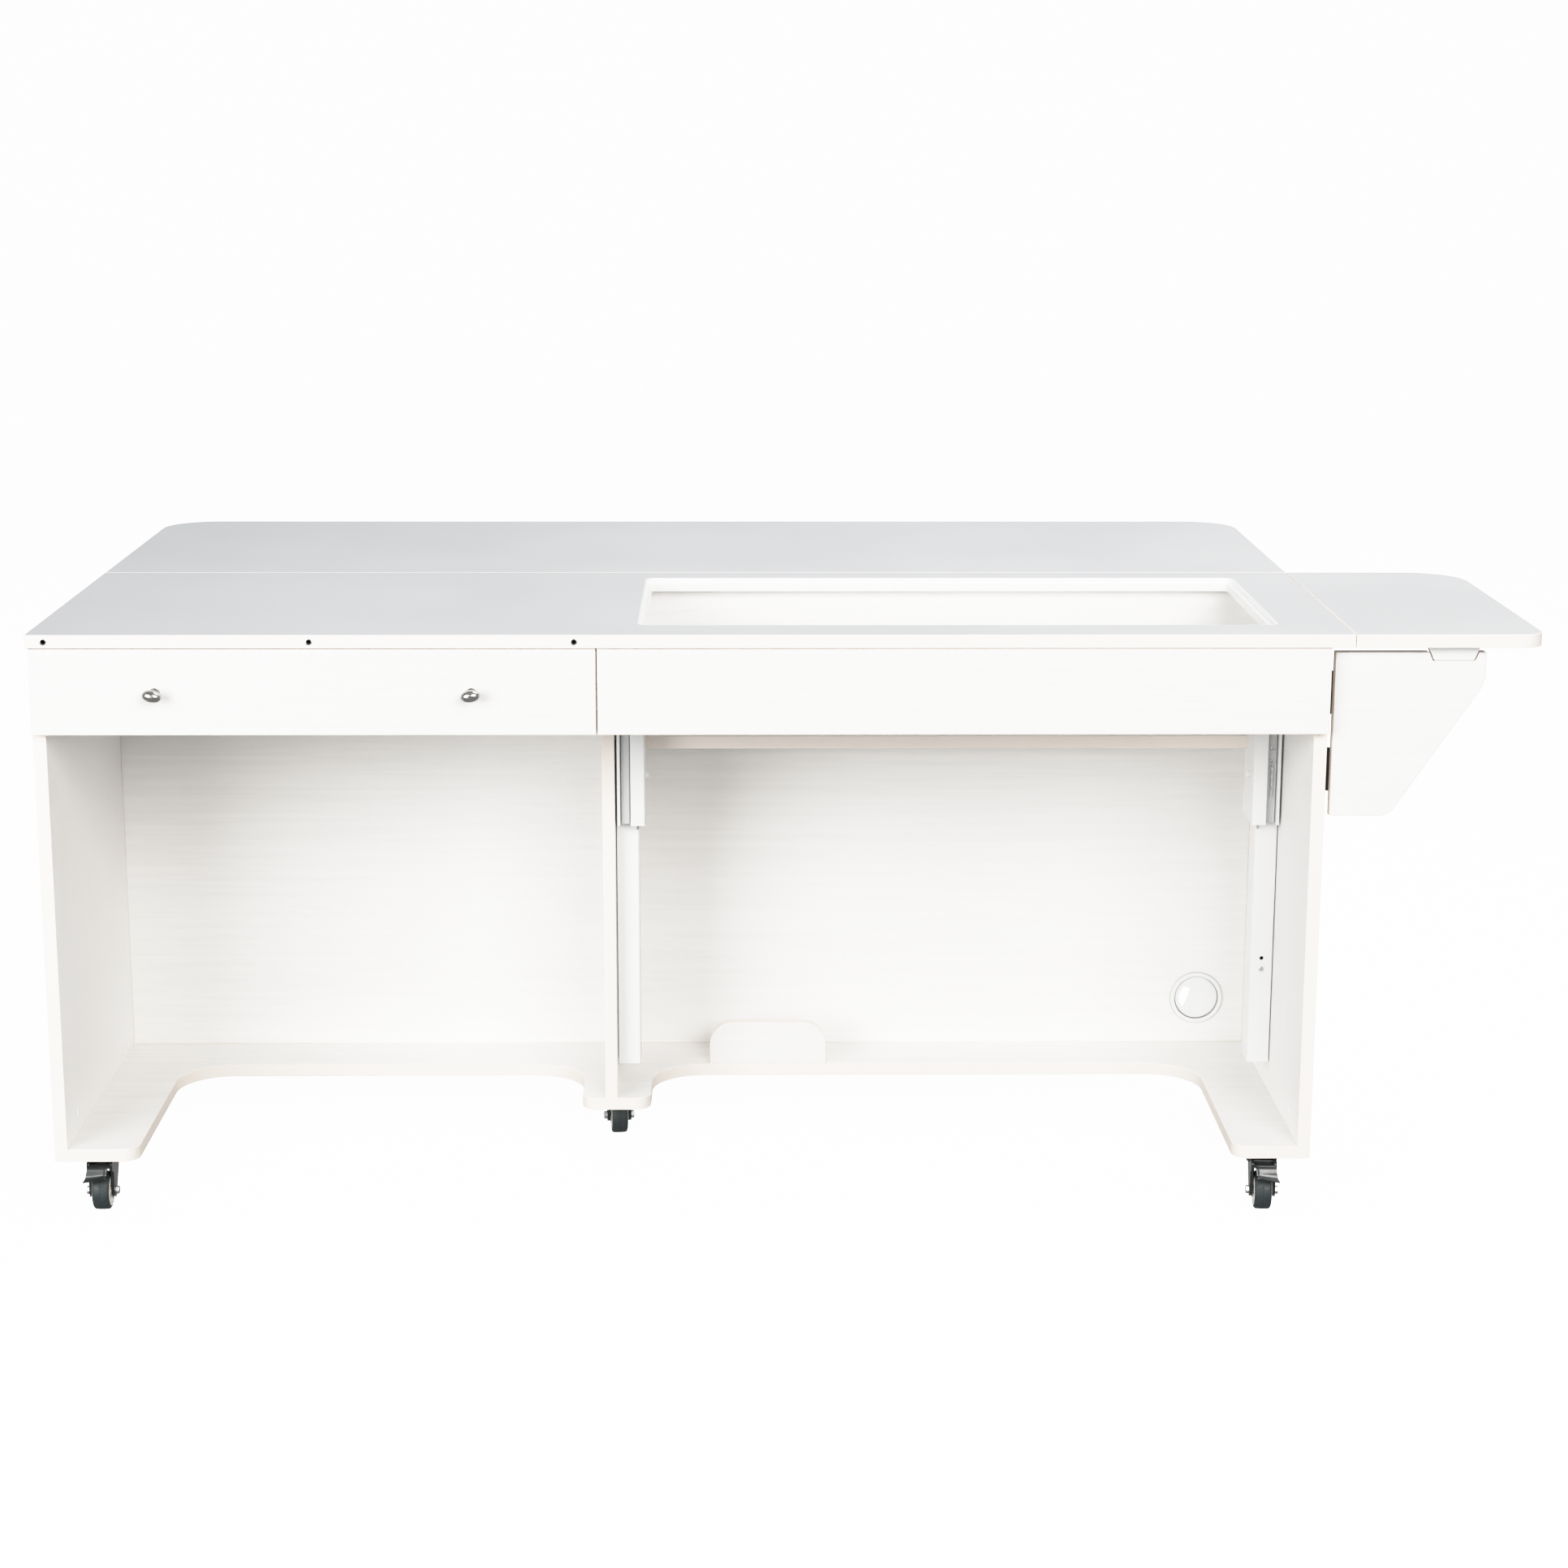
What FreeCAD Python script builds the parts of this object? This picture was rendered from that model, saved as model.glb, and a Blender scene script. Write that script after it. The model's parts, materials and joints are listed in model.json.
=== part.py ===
"""Sewing table on casters, with a machine lift, a drawer, a side leaf and a back leaf.

Lengths are in millimetres. The origin is on the floor under the middle of the whole table, +X runs to
the right, +Y to the back and +Z up. Places in the text below are measured from the left end and the
front edge of the worktop, and from the floor.
"""
import FreeCAD, Part
import Sketcher
import os
import re

DIMENSIONS = {
    # where the worktop's left end and front edge lie in the model
    "table_left": -944, "top_front": -498,
    # worktop and leaves
    "board": 17, "top_height": 767, "top_width": 1650, "main_depth": 501.8, "back_seam": 0.4,
    "full_depth": 1020, "corner_round": 75, "leaf_seam": 1, "side_leaf_width": 237,
    "side_leaf_depth": 502, "leaf_front_round": 28,
    # machine cut-out with its stepped ledge
    "cutout_left": 755, "cutout_front": 72, "cutout_width": 812, "cutout_depth": 380,
    "cutout_round": 7, "ledge": 6, "ledge_drop": 6,
    # threaded inserts in the front edge
    "insert_first": 24, "insert_pitch": 327.5, "insert_drop": 8.5, "insert_radius": 4.5,
    "insert_bore": 2.6, "insert_length": 13,
    # drawer front and apron
    "face_front": 2.5, "face_bottom": 640, "face_height": 109, "drawer_left": 3.3,
    "drawer_width": 702.1, "apron_left": 707, "apron_width": 915,
    # body
    "panel_left": 0.3, "panel_right": 1606.4, "panel_front": 20, "modesty_front": 468,
    "base_top": 90.8, "divider_left": 701.5, "divider_front": 221, "arm_bottom": 641,
    # base board outline
    "strip_front": 370, "left_lobe": 107.5, "mid_lobe_left": 669.9, "mid_lobe_right": 763.2,
    "right_lobe": 1523.5, "lobe_round": 22, "strip_round": 72,
    # upright stop board on the base
    "stop_left": 842, "stop_width": 163, "stop_height": 60, "stop_round": 33,
    # cable grommet
    "grommet_across": 1538, "grommet_up": 157, "grommet_hole": 35, "grommet_flange": 37.7,
    "grommet_inside": 31, "grommet_rim": 2.5, "cap_radius": 30.6, "cap_thick": 3, "cap_recess": 1,
    "ledge_inside": 27, "wedge_near": 8, "wedge_far": 25, "wedge_low": 4, "wedge_high": 14,
    # drawer box and its runners
    "drawer_gap": 13, "box_wall": 12, "box_depth": 400, "box_bottom": 652, "box_height": 80,
    "bottom_thick": 5, "runner_front": 30, "runner_length": 385, "runner_bottom": 670,
    "runner_height": 45, "runner_deep": 10, "runner_sheet": 1.5, "runner_play": 1,
    # knobs
    "knob_first": 158.2, "knob_pitch": 392.9, "knob_up": 693, "knob_half_width": 12.5,
    "knob_half_height": 8, "knob_half_depth": 8, "knob_centre": 16, "knob_stem": 4.5,
    "knob_foot": 7, "knob_foot_thick": 1.5, "knob_tilt_left": 10, "knob_tilt_right": -8,
    # lift rails, measured from the panel that each is fixed to
    "rail_off": 1, "rail_width": 30, "rail_front": 243, "rail_deep": 40, "rail_sheet": 2.5,
    "rail_bottom": 133, "rail_top": 745,
    # lift carriages
    "carriage_front": 222, "carriage_bottom": 470, "carriage_top": 598, "carriage_web": 4.5,
    "carriage_wall": 4, "carriage_box": 19, "carriage_play": 0.5, "flange_back": 300,
    "hook_width": 17, "carriage_flange": 8, "peg_radius": 2.2, "peg_drop": 6,
    "lug_front": 258, "lug_up": 583, "lug_thick": 6,
    # lift platform, cross bar and their brackets
    "platform_gap": 8.5, "platform_front": 86, "platform_depth": 352, "platform_up": 625,
    "bar_front": 283, "bar_up": 562, "angle_sheet": 2.5, "angle_reach": 40, "angle_front": 100,
    "angle_length": 320, "angle_low": 590, "bolt_cap": 4.5, "bolt_cap_long": 5, "bolt_up": 533,
    "bolt_back": 252, "guide_gap": 1, "guide_thick": 8,
    # gas springs
    "gas_back": 264, "gas_radius": 8, "gas_wall": 2, "gas_bottom": 140, "gas_length": 285,
    "gas_foot": 4, "rod_radius": 3, "rod_play": 0.05, "rod_bottom": 300, "piston_radius": 5.8,
    "piston_long": 8,
    # bracket board under the side leaf, with its catch
    "gate_left": 1630, "gate_front": 20, "gate_bottom": 531, "gate_height": 210,
    "gate_width": 189, "gate_foot": 75, "gate_slope": 171, "gate_toe_round": 25,
    "gate_side_round": 40, "catch_left": 1745, "catch_top_width": 67, "catch_bottom_width": 50,
    "catch_drop": 19.5, "catch_play": 1.8,
    # vertical butt hinges of both swinging boards
    "pin_radius": 1.5, "pin_play": 0.05, "knuckle_radius": 3.5, "hinge_sheet": 2,
    "hinge_height": 55, "hinge_reach": 30, "hinge_slit": 0.4, "gate_pin_x": 1627.6,
    "gate_pin_y": 41, "low_hinge": 560, "high_hinge": 659,
    # leg board behind the body
    "leg_pin_x": 813, "leg_pin_y": 489.5, "leg_gap": 2.9, "leg_bottom": 60, "leg_depth": 470,
    "leg_top_gap": 0.5, "leg_low_hinge": 140, "leg_high_hinge": 600, "glide_radius": 13,
    "glide_back": 930, "glide_gap": 1,
    # flat hinges under the seams of the leaves
    "flat_knuckle": 3.5, "flat_sheet": 1.5, "flat_half": 25, "flat_reach_in": 13,
    "flat_reach_out": 36, "side_hinge_first": 70, "side_hinge_pitch": 180,
    "back_hinge_first": 250, "back_hinge_pitch": 645,
    # small fastenings
    "cam_radius": 7.5, "cam_thick": 0.8,
    "cam_up": 118, "cam_front": 94, "cam_back": 382, "head_radius": 3.6, "head_thick": 2,
    "screw_high": 573, "screw_low": 556, "screw_rail": 265,
    # casters, each in its own frame: swivel axis at the origin, wheel trailing to -Y
    "wheel_radius": 25, "wheel_up": 25, "trail": 18, "tyre_width": 22, "tyre_round": 5,
    "tyre_bore": 17, "hub_width": 22.6, "hub_bore": 3.05, "hub_dish": 2.2, "hub_rim": 2.2,
    "hub_boss": 6, "axle_radius": 3, "nut_radius": 5.5, "nut_thick": 5, "fork_gap": 25,
    "fork_wall": 4, "fork_top": 69.5, "crown_thick": 10, "crown_radius": 21, "leg_front": -27,
    "leg_back": 15, "leg_eye": 8, "ear_front": -36, "ear_bottom": 57, "ear_top": 67,
    "plate_size": 44, "plate_thick": 2, "kingpin_radius": 4, "kingpin_play": 0.3,
    # brake pedal, in the caster's frame
    "pedal_width": 40, "pedal_hinge_y": -31.2, "pedal_hinge_z": 62, "pedal_barrel": 3.5,
    "pedal_start": -37, "pedal_tip_y": -49, "pedal_tip_z": 46, "pedal_thick": 3,
    "pedal_nose": 24, "pedal_pin": 1.5, "pedal_play": 0.05,
}

CASTERS = {
    # name: (across, back, turn in degrees, has a brake)
    "front_left": (54, 68, 1, True),
    "front_right": (1567, 56, -4, True),
    "middle": (713, 363, 6, False),
    "rear_left": (50, 428, 172, False),
    "rear_right": (1574, 428, 195, False),
}

doc = FreeCAD.newDocument("sewing_table")
sheet = doc.addObject("Spreadsheet::Sheet", "Dims")
for row, (alias, number) in enumerate(DIMENSIONS.items(), start=1):
    sheet.set(f"A{row}", alias)
    sheet.set(f"B{row}", str(number))
    sheet.setAlias(f"B{row}", alias)
doc.recompute()

FLAT = FreeCAD.Rotation()
FACING = FreeCAD.Rotation(FreeCAD.Vector(1, 0, 0), 90)  # outline in X and Z, thickness towards -Y
SIDEWAYS = FreeCAD.Rotation(FreeCAD.Vector(1, 1, 1), 120)  # outline in Y and Z, thickness towards +X
ALONG_X = FreeCAD.Rotation(FreeCAD.Vector(0, 1, 0), 90)
ALONG_Y = FreeCAD.Rotation(FreeCAD.Vector(1, 0, 0), -90)
IN_TABLE = ("table_left", "top_front", "0")
ORIGIN = ("0", "0", "0")
nodes = {}


def bound(text):
    """The text with each dimension's name turned into a reference to its cell."""
    return re.sub(r"[a-z]\w*", lambda word: "Dims." + word.group(0), str(text))


def value(text):
    """What an expression of dimension names comes to."""
    return float(sheet.evalExpression(bound(text)))


def place(piece, at, turn=FLAT, base=IN_TABLE):
    """Turns a piece and binds its place, measured from base."""
    piece.Placement = FreeCAD.Placement(FreeCAD.Vector(), turn)
    for axis, text, start in zip("xyz", at, base):
        piece.setExpression(f"Placement.Base.{axis}", bound(f"({start}) + ({text})"))
    return piece


def primitive(kind, name, sizes, at, turn=FLAT, base=IN_TABLE):
    """A Part primitive with every size bound to the sheet."""
    piece = doc.addObject(kind, name)
    for size, text in sizes.items():
        piece.setExpression(size, bound(text))
    return place(piece, at, turn, base)


def box(name, at, size, base=IN_TABLE):
    """A box from its lowest corner."""
    sizes = dict(zip(("Length", "Width", "Height"), size))
    return primitive("Part::Box", name, sizes, at, FLAT, base)


def rod(name, at, radius, height, turn=FLAT, base=IN_TABLE):
    """A cylinder along +Z, or along the axis that turn points it to."""
    return primitive("Part::Cylinder", name, {"Radius": radius, "Height": height}, at, turn, base)


def fuse(name, pieces):
    """One solid from several that touch or overlap."""
    whole = doc.addObject("Part::MultiFuse", name)
    whole.Shapes = pieces
    whole.Refine = True
    return whole


def cut(name, piece, tools):
    """A piece with tools taken out of it."""
    tool = tools[0]
    if len(tools) > 1:
        tool = doc.addObject("Part::Compound", name + "_tools")
        tool.Links = tools
    rest = doc.addObject("Part::Cut", name)
    rest.Base, rest.Tool = piece, tool
    return rest


def group(name, pieces):
    """Several separate solids of one node."""
    whole = doc.addObject("Part::Compound", name)
    whole.Links = pieces
    return whole


def node(piece, name):
    """Marks a piece as a finished sub-part."""
    piece.Label = name
    nodes[name] = piece
    return piece


def outline_sketch(body, name, points):
    """A closed outline of straight sides, each corner bound to the sheet by its two distances."""
    plane = next(p for p in body.Origin.OriginFeatures if p.Role == "XY_Plane")
    sketch = body.newObject("Sketcher::SketchObject", name)
    sketch.AttachmentSupport = (plane, [""])
    sketch.MapMode = "FlatFace"
    places = [FreeCAD.Vector(value(x), value(y), 0) for x, y in points]
    count = len(places)
    for i, start in enumerate(places):
        sketch.addGeometry(Part.LineSegment(start, places[(i + 1) % count]), False)
    for i in range(count):
        sketch.addConstraint(Sketcher.Constraint("Coincident", i, 2, (i + 1) % count, 1))
    for i, texts in enumerate(points):
        for direction, text in zip(("DistanceX", "DistanceY"), texts):
            rule = Sketcher.Constraint(direction, -1, 1, i, 1, value(text))
            sketch.setExpression(f"Constraints[{sketch.addConstraint(rule)}]", bound(text))
    return sketch


def upright_edges(shape, corners):
    """Names of the edges that run along the thickness at these outline corners."""
    names = []
    for i, edge in enumerate(shape.Edges, start=1):
        ends = [v.Point for v in edge.Vertexes]
        if len(ends) < 2 or (ends[0] - ends[1]).cross(FreeCAD.Vector(0, 0, 1)).Length > 1e-6:
            continue
        if any(abs(ends[0].x - x) + abs(ends[0].y - y) < 1e-3 for x, y in corners):
            names.append(f"Edge{i}")
    return names


def outline(name, points, thickness, at, turn=FLAT, rounds=(), base=IN_TABLE):
    """A board of any outline: sketch, pad and rounded corners. rounds holds (radius, corners)."""
    body = doc.addObject("PartDesign::Body", name)
    sketch = outline_sketch(body, name + "_outline", points)
    pad = body.newObject("PartDesign::Pad", name + "_pad")
    pad.Profile = sketch
    pad.setExpression("Length", bound(thickness))
    doc.recompute()
    last = pad
    for number, (radius, corners) in enumerate(rounds):
        flat = [(value(points[c][0]), value(points[c][1])) for c in corners]
        rounded = body.newObject("PartDesign::Fillet", f"{name}_round_{number}")
        rounded.Base = (last, upright_edges(last.Shape, flat))
        rounded.setExpression("Radius", bound(radius))
        doc.recompute()
        last = rounded
    body.Tip = last
    return place(body, at, turn, base)


def rectangle(width, depth):
    """Outline corners of a rectangle, round from the corner at its own origin."""
    return [("0", "0"), (width, "0"), (width, depth), ("0", depth)]


def worktop():
    """Main top with the stepped machine cut-out and blind holes for the front inserts."""
    slab = outline("worktop_slab", rectangle("top_width", "main_depth"), "board",
                   ("0", "0", "top_height - board"))
    step = outline("worktop_step", rectangle("cutout_width", "cutout_depth"), "ledge_drop + 1",
                   ("cutout_left", "cutout_front", "top_height - ledge_drop"),
                   rounds=[("cutout_round + ledge", (0, 1, 2, 3))])
    hole = outline("worktop_hole", rectangle("cutout_width - 2 * ledge", "cutout_depth - 2 * ledge"),
                   "board + 2",
                   ("cutout_left + ledge", "cutout_front + ledge", "top_height - board - 1"),
                   rounds=[("cutout_round", (0, 1, 2, 3))])
    sockets = [rod(f"insert_socket_{i}", insert_place(i, -1), "insert_radius", "insert_length + 1",
                   ALONG_Y) for i in range(3)]
    return node(cut("worktop_cut", slab, [step, hole] + sockets), "worktop")


def insert_place(i, start):
    """Mouth of an insert, start millimetres behind the front edge."""
    return (f"insert_first + {i} * insert_pitch", start, "top_height - insert_drop")


def edge_inserts():
    """Threaded sleeves let into the front edge, bored to the thread's core."""
    sleeves = []
    for i in range(3):
        sleeve = rod(f"insert_sleeve_{i}", insert_place(i, 0), "insert_radius", "insert_length",
                     ALONG_Y)
        bore = rod(f"insert_bore_{i}", insert_place(i, -1), "insert_bore", "insert_length + 2",
                   ALONG_Y)
        sleeves.append(cut(f"insert_{i}", sleeve, [bore]))
    return node(group("inserts", sleeves), "edge_inserts")


def leaves():
    """Back leaf and side leaf, level with the main top."""
    back = outline("back_board", rectangle("top_width", "full_depth - main_depth - back_seam"),
                   "board", ("0", "main_depth + back_seam", "top_height - board"),
                   rounds=[("corner_round", (2, 3))])
    side = outline("side_board", rectangle("side_leaf_width", "side_leaf_depth"), "board",
                   ("top_width + leaf_seam", "0", "top_height - board"),
                   rounds=[("leaf_front_round", (1,)), ("corner_round", (2,))])
    node(back, "back_leaf")
    node(side, "side_leaf")


def flat_hinge(name, across, back, seam_along_y):
    """Hinge on the underside of a seam: two thin plates and a knuckle below the gap."""
    low = "top_height - board - flat_sheet"
    drop = "top_height - board - flat_knuckle"
    if seam_along_y:
        plate = box(name + "_plate", (f"{across} - flat_reach_in", f"{back} - flat_half", low),
                    ("flat_reach_in + flat_reach_out", "2 * flat_half", "flat_sheet"))
        knuckle = rod(name + "_knuckle", (across, f"{back} - flat_half", drop), "flat_knuckle",
                      "2 * flat_half", ALONG_Y)
    else:
        plate = box(name + "_plate", (f"{across} - flat_half", f"{back} - flat_reach_in", low),
                    ("2 * flat_half", "flat_reach_in + flat_reach_out", "flat_sheet"))
        knuckle = rod(name + "_knuckle", (f"{across} - flat_half", back, drop), "flat_knuckle",
                      "2 * flat_half", ALONG_X)
    return fuse(name, [plate, knuckle])


def leaf_hinges():
    """Three flat hinges under each seam."""
    side = [flat_hinge(f"side_hinge_{i}", "(top_width + leaf_seam / 2)",
                       f"(side_hinge_first + {i} * side_hinge_pitch)", True) for i in range(3)]
    back = [flat_hinge(f"back_hinge_{i}", f"(back_hinge_first + {i} * back_hinge_pitch)",
                       "(main_depth + back_seam / 2)", False) for i in range(3)]
    return node(group("flat_hinges", side + back), "leaf_hinges")


def panels():
    """The two end panels, standing on the base board and carrying the top."""
    size = ("board", "modesty_front + board - panel_front", "top_height - board - base_top")
    node(box("panel_1", ("panel_left", "panel_front", "base_top"), size), "left_side_panel")
    node(box("panel_2", ("panel_right", "panel_front", "base_top"), size), "right_side_panel")


def center_divider():
    """Upright between the two bays, with an arm that runs forward behind the drawer seam."""
    top = "top_height - board"
    points = [("divider_front", "base_top"), ("modesty_front", "base_top"), ("modesty_front", top),
              ("panel_front", top), ("panel_front", "arm_bottom"), ("divider_front", "arm_bottom")]
    board = outline("divider", points, "board", ("divider_left", "0", "0"), SIDEWAYS)
    return node(board, "center_divider")


def modesty_panel():
    """Back board of the body between the end panels, bored for the cable grommet."""
    board = box("modesty_board", ("panel_left + board", "modesty_front", "base_top"),
                ("panel_right - panel_left - board", "board", "top_height - board - base_top"))
    hole = rod("modesty_hole", ("grommet_across", "modesty_front - 1", "grommet_up"),
               "grommet_hole", "board + 2", ALONG_Y)
    return node(cut("modesty", board, [hole]), "modesty_panel")


def base_board():
    """Foot board: a strip along the back with three lobes that run forward over the casters."""
    right, back = "panel_right + board", "modesty_front + board"
    points = [("panel_left", back), ("panel_left", "panel_front"), ("left_lobe", "panel_front"),
              ("left_lobe", "strip_front"), ("mid_lobe_left", "strip_front"),
              ("mid_lobe_left", "divider_front"), ("mid_lobe_right", "divider_front"),
              ("mid_lobe_right", "strip_front"), ("right_lobe", "strip_front"),
              ("right_lobe", "panel_front"), (right, "panel_front"), (right, back)]
    board = outline("base", points, "board", ("0", "0", "base_top - board"),
                    rounds=[("lobe_round", (2, 5, 6, 9)), ("strip_round", (3, 4, 7, 8))])
    return node(board, "base_board")


def front_boards():
    """Drawer front and the fixed apron beside it."""
    drawer = box("drawer_face", ("drawer_left", "face_front", "face_bottom"),
                 ("drawer_width", "board", "face_height"))
    apron = box("apron_face", ("apron_left", "face_front", "face_bottom"),
                ("apron_width", "board", "face_height"))
    node(drawer, "drawer_front")
    node(apron, "front_apron")


def pedal_stop_board():
    """Upright with rounded shoulders that keeps the foot pedal from sliding back."""
    board = outline("stop", rectangle("stop_width", "stop_height"), "board",
                    ("stop_left", "strip_front + board", "base_top"), FACING,
                    [("stop_round", (2, 3))])
    return node(board, "pedal_stop_board")


def grommet():
    """Flanged ring in the modesty panel and the cap that turns in it, with its wedge-shaped slot."""
    centre = ("grommet_across", "modesty_front", "grommet_up")
    flange = rod("ring_flange", (centre[0], "modesty_front - grommet_rim", centre[2]),
                 "grommet_flange", "grommet_rim", ALONG_Y)
    sleeve = rod("ring_sleeve", centre, "grommet_hole - 0.2", "board", ALONG_Y)
    mouth = rod("ring_mouth", (centre[0], "modesty_front - grommet_rim - 1", centre[2]),
                "grommet_inside", "grommet_rim + 1 + cap_recess + cap_thick", ALONG_Y)
    bore = rod("ring_bore", (centre[0], "modesty_front", centre[2]), "ledge_inside", "board + 1",
               ALONG_Y)
    ring = cut("ring", fuse("ring_solid", [flange, sleeve]), [mouth, bore])
    node(ring, "grommet_ring")
    disc = rod("cap_disc", (centre[0], "modesty_front + cap_recess - 0.3", centre[2]), "cap_radius",
               "cap_thick", ALONG_Y)
    wedge = outline("cap_wedge", [("-wedge_near", "-wedge_low"), ("-wedge_near", "wedge_low"),
                                  ("-wedge_far", "wedge_high"), ("-wedge_far", "-wedge_high")],
                    "cap_thick + 4", (centre[0], "modesty_front + cap_thick + 3", centre[2]), FACING)
    node(cut("cap", disc, [wedge]), "grommet_cap")


def drawer_box():
    """Sides, back and bottom behind the drawer front."""
    left, right = "(panel_left + board + drawer_gap)", "(divider_left - drawer_gap - box_wall)"
    front = "face_front + board"
    sides = [box(f"drawer_side_{i}", (x, front, "box_bottom"), ("box_wall", "box_depth", "box_height"))
             for i, x in enumerate((left, right))]
    inside = f"{right} - {left} - box_wall"
    bottom = box("drawer_floor", (f"{left} + box_wall", front, "box_bottom"),
                 (inside, "box_depth", "bottom_thick"))
    back = box("drawer_rear", (f"{left} + box_wall", f"{front} + box_depth - box_wall",
                               "box_bottom + bottom_thick"),
               (inside, "box_wall", "box_height - bottom_thick"))
    node(group("sides", sides), "drawer_sides")
    node(bottom, "drawer_bottom")
    node(back, "drawer_back")


def runner(name, start, reach, web_left, height, up):
    """Channel along Y: a box with one open side, its web on the left or the right."""
    shell = box(name + "_shell", (start, "runner_front", up), (reach, "runner_length", height))
    shift = "runner_sheet" if web_left else "0"
    hollow = box(name + "_hollow", (f"{start} + {shift}", "runner_front - 1", f"{up} + runner_sheet"),
                 (f"{reach} - runner_sheet", "runner_length + 2", f"{height} - 2 * runner_sheet"))
    return cut(name, shell, [hollow])


def drawer_runners():
    """A fixed channel on each side of the bay, and the narrower one on the drawer inside it."""
    low = "runner_bottom + runner_sheet + runner_play"
    slim = "runner_height - 2 * runner_sheet - 2 * runner_play"
    reach = "drawer_gap - runner_sheet - runner_play"
    wall_left, wall_right = "(panel_left + board)", "(divider_left)"
    fixed = [runner("fixed_left", wall_left, "runner_deep", True, "runner_height", "runner_bottom"),
             runner("fixed_right", f"({wall_right} - runner_deep)", "runner_deep", False,
                    "runner_height", "runner_bottom")]
    moving = [runner("moving_left", f"({wall_left} + runner_sheet + runner_play)", f"({reach})",
                     False, f"({slim})", f"({low})"),
              runner("moving_right", f"({wall_right} - drawer_gap)", f"({reach})", True,
                     f"({slim})", f"({low})")]
    node(group("runners_fixed", fixed), "drawer_runners_fixed")
    node(group("runners_moving", moving), "drawer_runners_moving")


def knobs():
    """Two oval knobs on short stems, each turned a little on its screw."""
    made = []
    for i, tilt in enumerate(("knob_tilt_left", "knob_tilt_right")):
        across = f"knob_first + {i} * knob_pitch"
        turn = FreeCAD.Rotation(FreeCAD.Vector(0, 1, 0), value(tilt))
        head = primitive("Part::Ellipsoid", f"knob_head_{i}",
                         {"Radius1": "knob_half_height", "Radius2": "knob_half_width",
                          "Radius3": "knob_half_depth"},
                         (across, "face_front - knob_centre - 2.5", "knob_up"), turn)
        stem = rod(f"knob_stem_{i}", (across, "face_front - knob_centre", "knob_up"), "knob_stem",
                   "knob_centre", ALONG_Y)
        foot = rod(f"knob_foot_{i}", (across, "face_front - knob_foot_thick", "knob_up"),
                   "knob_foot", "knob_foot_thick", ALONG_Y)
        made.append(fuse(f"knob_{i}", [head, stem, foot]))
    return node(group("knobs", made), "drawer_knobs")


def across_from(side, start, width):
    """Left edge of something start from the lift bay's wall on that side, width wide."""
    if side == "left":
        return f"(divider_left + board + rail_off + {start})"
    return f"(panel_right - rail_off - {start} - {width})"


def lift_rail(side):
    """Fixed upright channel, open to the back, that the carriage runs on."""
    shell = box(f"rail_{side}_shell", (across_from(side, "0", "rail_width"), "rail_front", "rail_bottom"),
                ("rail_width", "rail_deep", "rail_top - rail_bottom"))
    hollow = box(f"rail_{side}_hollow",
                 (across_from(side, "rail_sheet", "(rail_width - 2 * rail_sheet)"),
                  "rail_front + rail_sheet", "rail_bottom - 1"),
                 ("rail_width - 2 * rail_sheet", "rail_deep", "rail_top - rail_bottom + 2"))
    return node(cut(f"rail_{side}", shell, [hollow]), f"lift_rail_{side}")


def lift_carriage(side):
    """Moving member: an open channel before the rail, a flange beside it and a hook behind it."""
    height = "carriage_top - carriage_bottom"
    inner = "(rail_width + carriage_play + carriage_flange)"

    def bar(name, start, width, front, depth, low="carriage_bottom", tall=height):
        return box(f"carriage_{side}_{name}", (across_from(side, start, width), front, low),
                   (width, depth, tall))

    web_front = "rail_front - carriage_play - carriage_web"
    parts = [
        bar("web", "carriage_wall / 2", f"({inner} - carriage_wall / 2)", web_front, "carriage_web"),
        bar("wall", "carriage_wall / 2", "carriage_wall", "carriage_front",
            "rail_front - carriage_play - carriage_front"),
        bar("box", f"({inner} - carriage_box)", "carriage_box", "carriage_front",
            "rail_front - carriage_play - carriage_front"),
        bar("flange", f"({inner} - carriage_flange)", "carriage_flange", web_front,
            f"flange_back - ({web_front})"),
        bar("hook", f"({inner} - hook_width)", "hook_width",
            "rail_front + rail_deep + carriage_play",
            "flange_back - rail_front - rail_deep - carriage_play"),
        bar("lug", "(rail_width / 2 - lug_thick)", "(rail_width / 2 + lug_thick + carriage_play)",
            "lug_front", "flange_back - lug_front", "lug_up", "lug_thick"),
    ]
    slot = bar("lug_clear", "(rail_width - rail_sheet - carriage_play)",
               "(rail_sheet + 2 * carriage_play)", "lug_front - 1",
               "rail_front + rail_deep + carriage_play + 1 - lug_front", "lug_up - 1", "lug_thick + 2")
    peg_back = "carriage_front + carriage_wall + 3"
    peg = rod(f"carriage_{side}_peg",
              (f"({across_from(side, inner, '0')}" + (" - " if side == "left" else " + ")
               + "carriage_box / 2)", peg_back, "carriage_bottom - peg_drop"),
              "peg_radius", "peg_drop")
    solid = fuse(f"carriage_{side}_solid", parts + [peg])
    return node(cut(f"carriage_{side}", solid, [slot]), f"lift_carriage_{side}")


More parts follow.
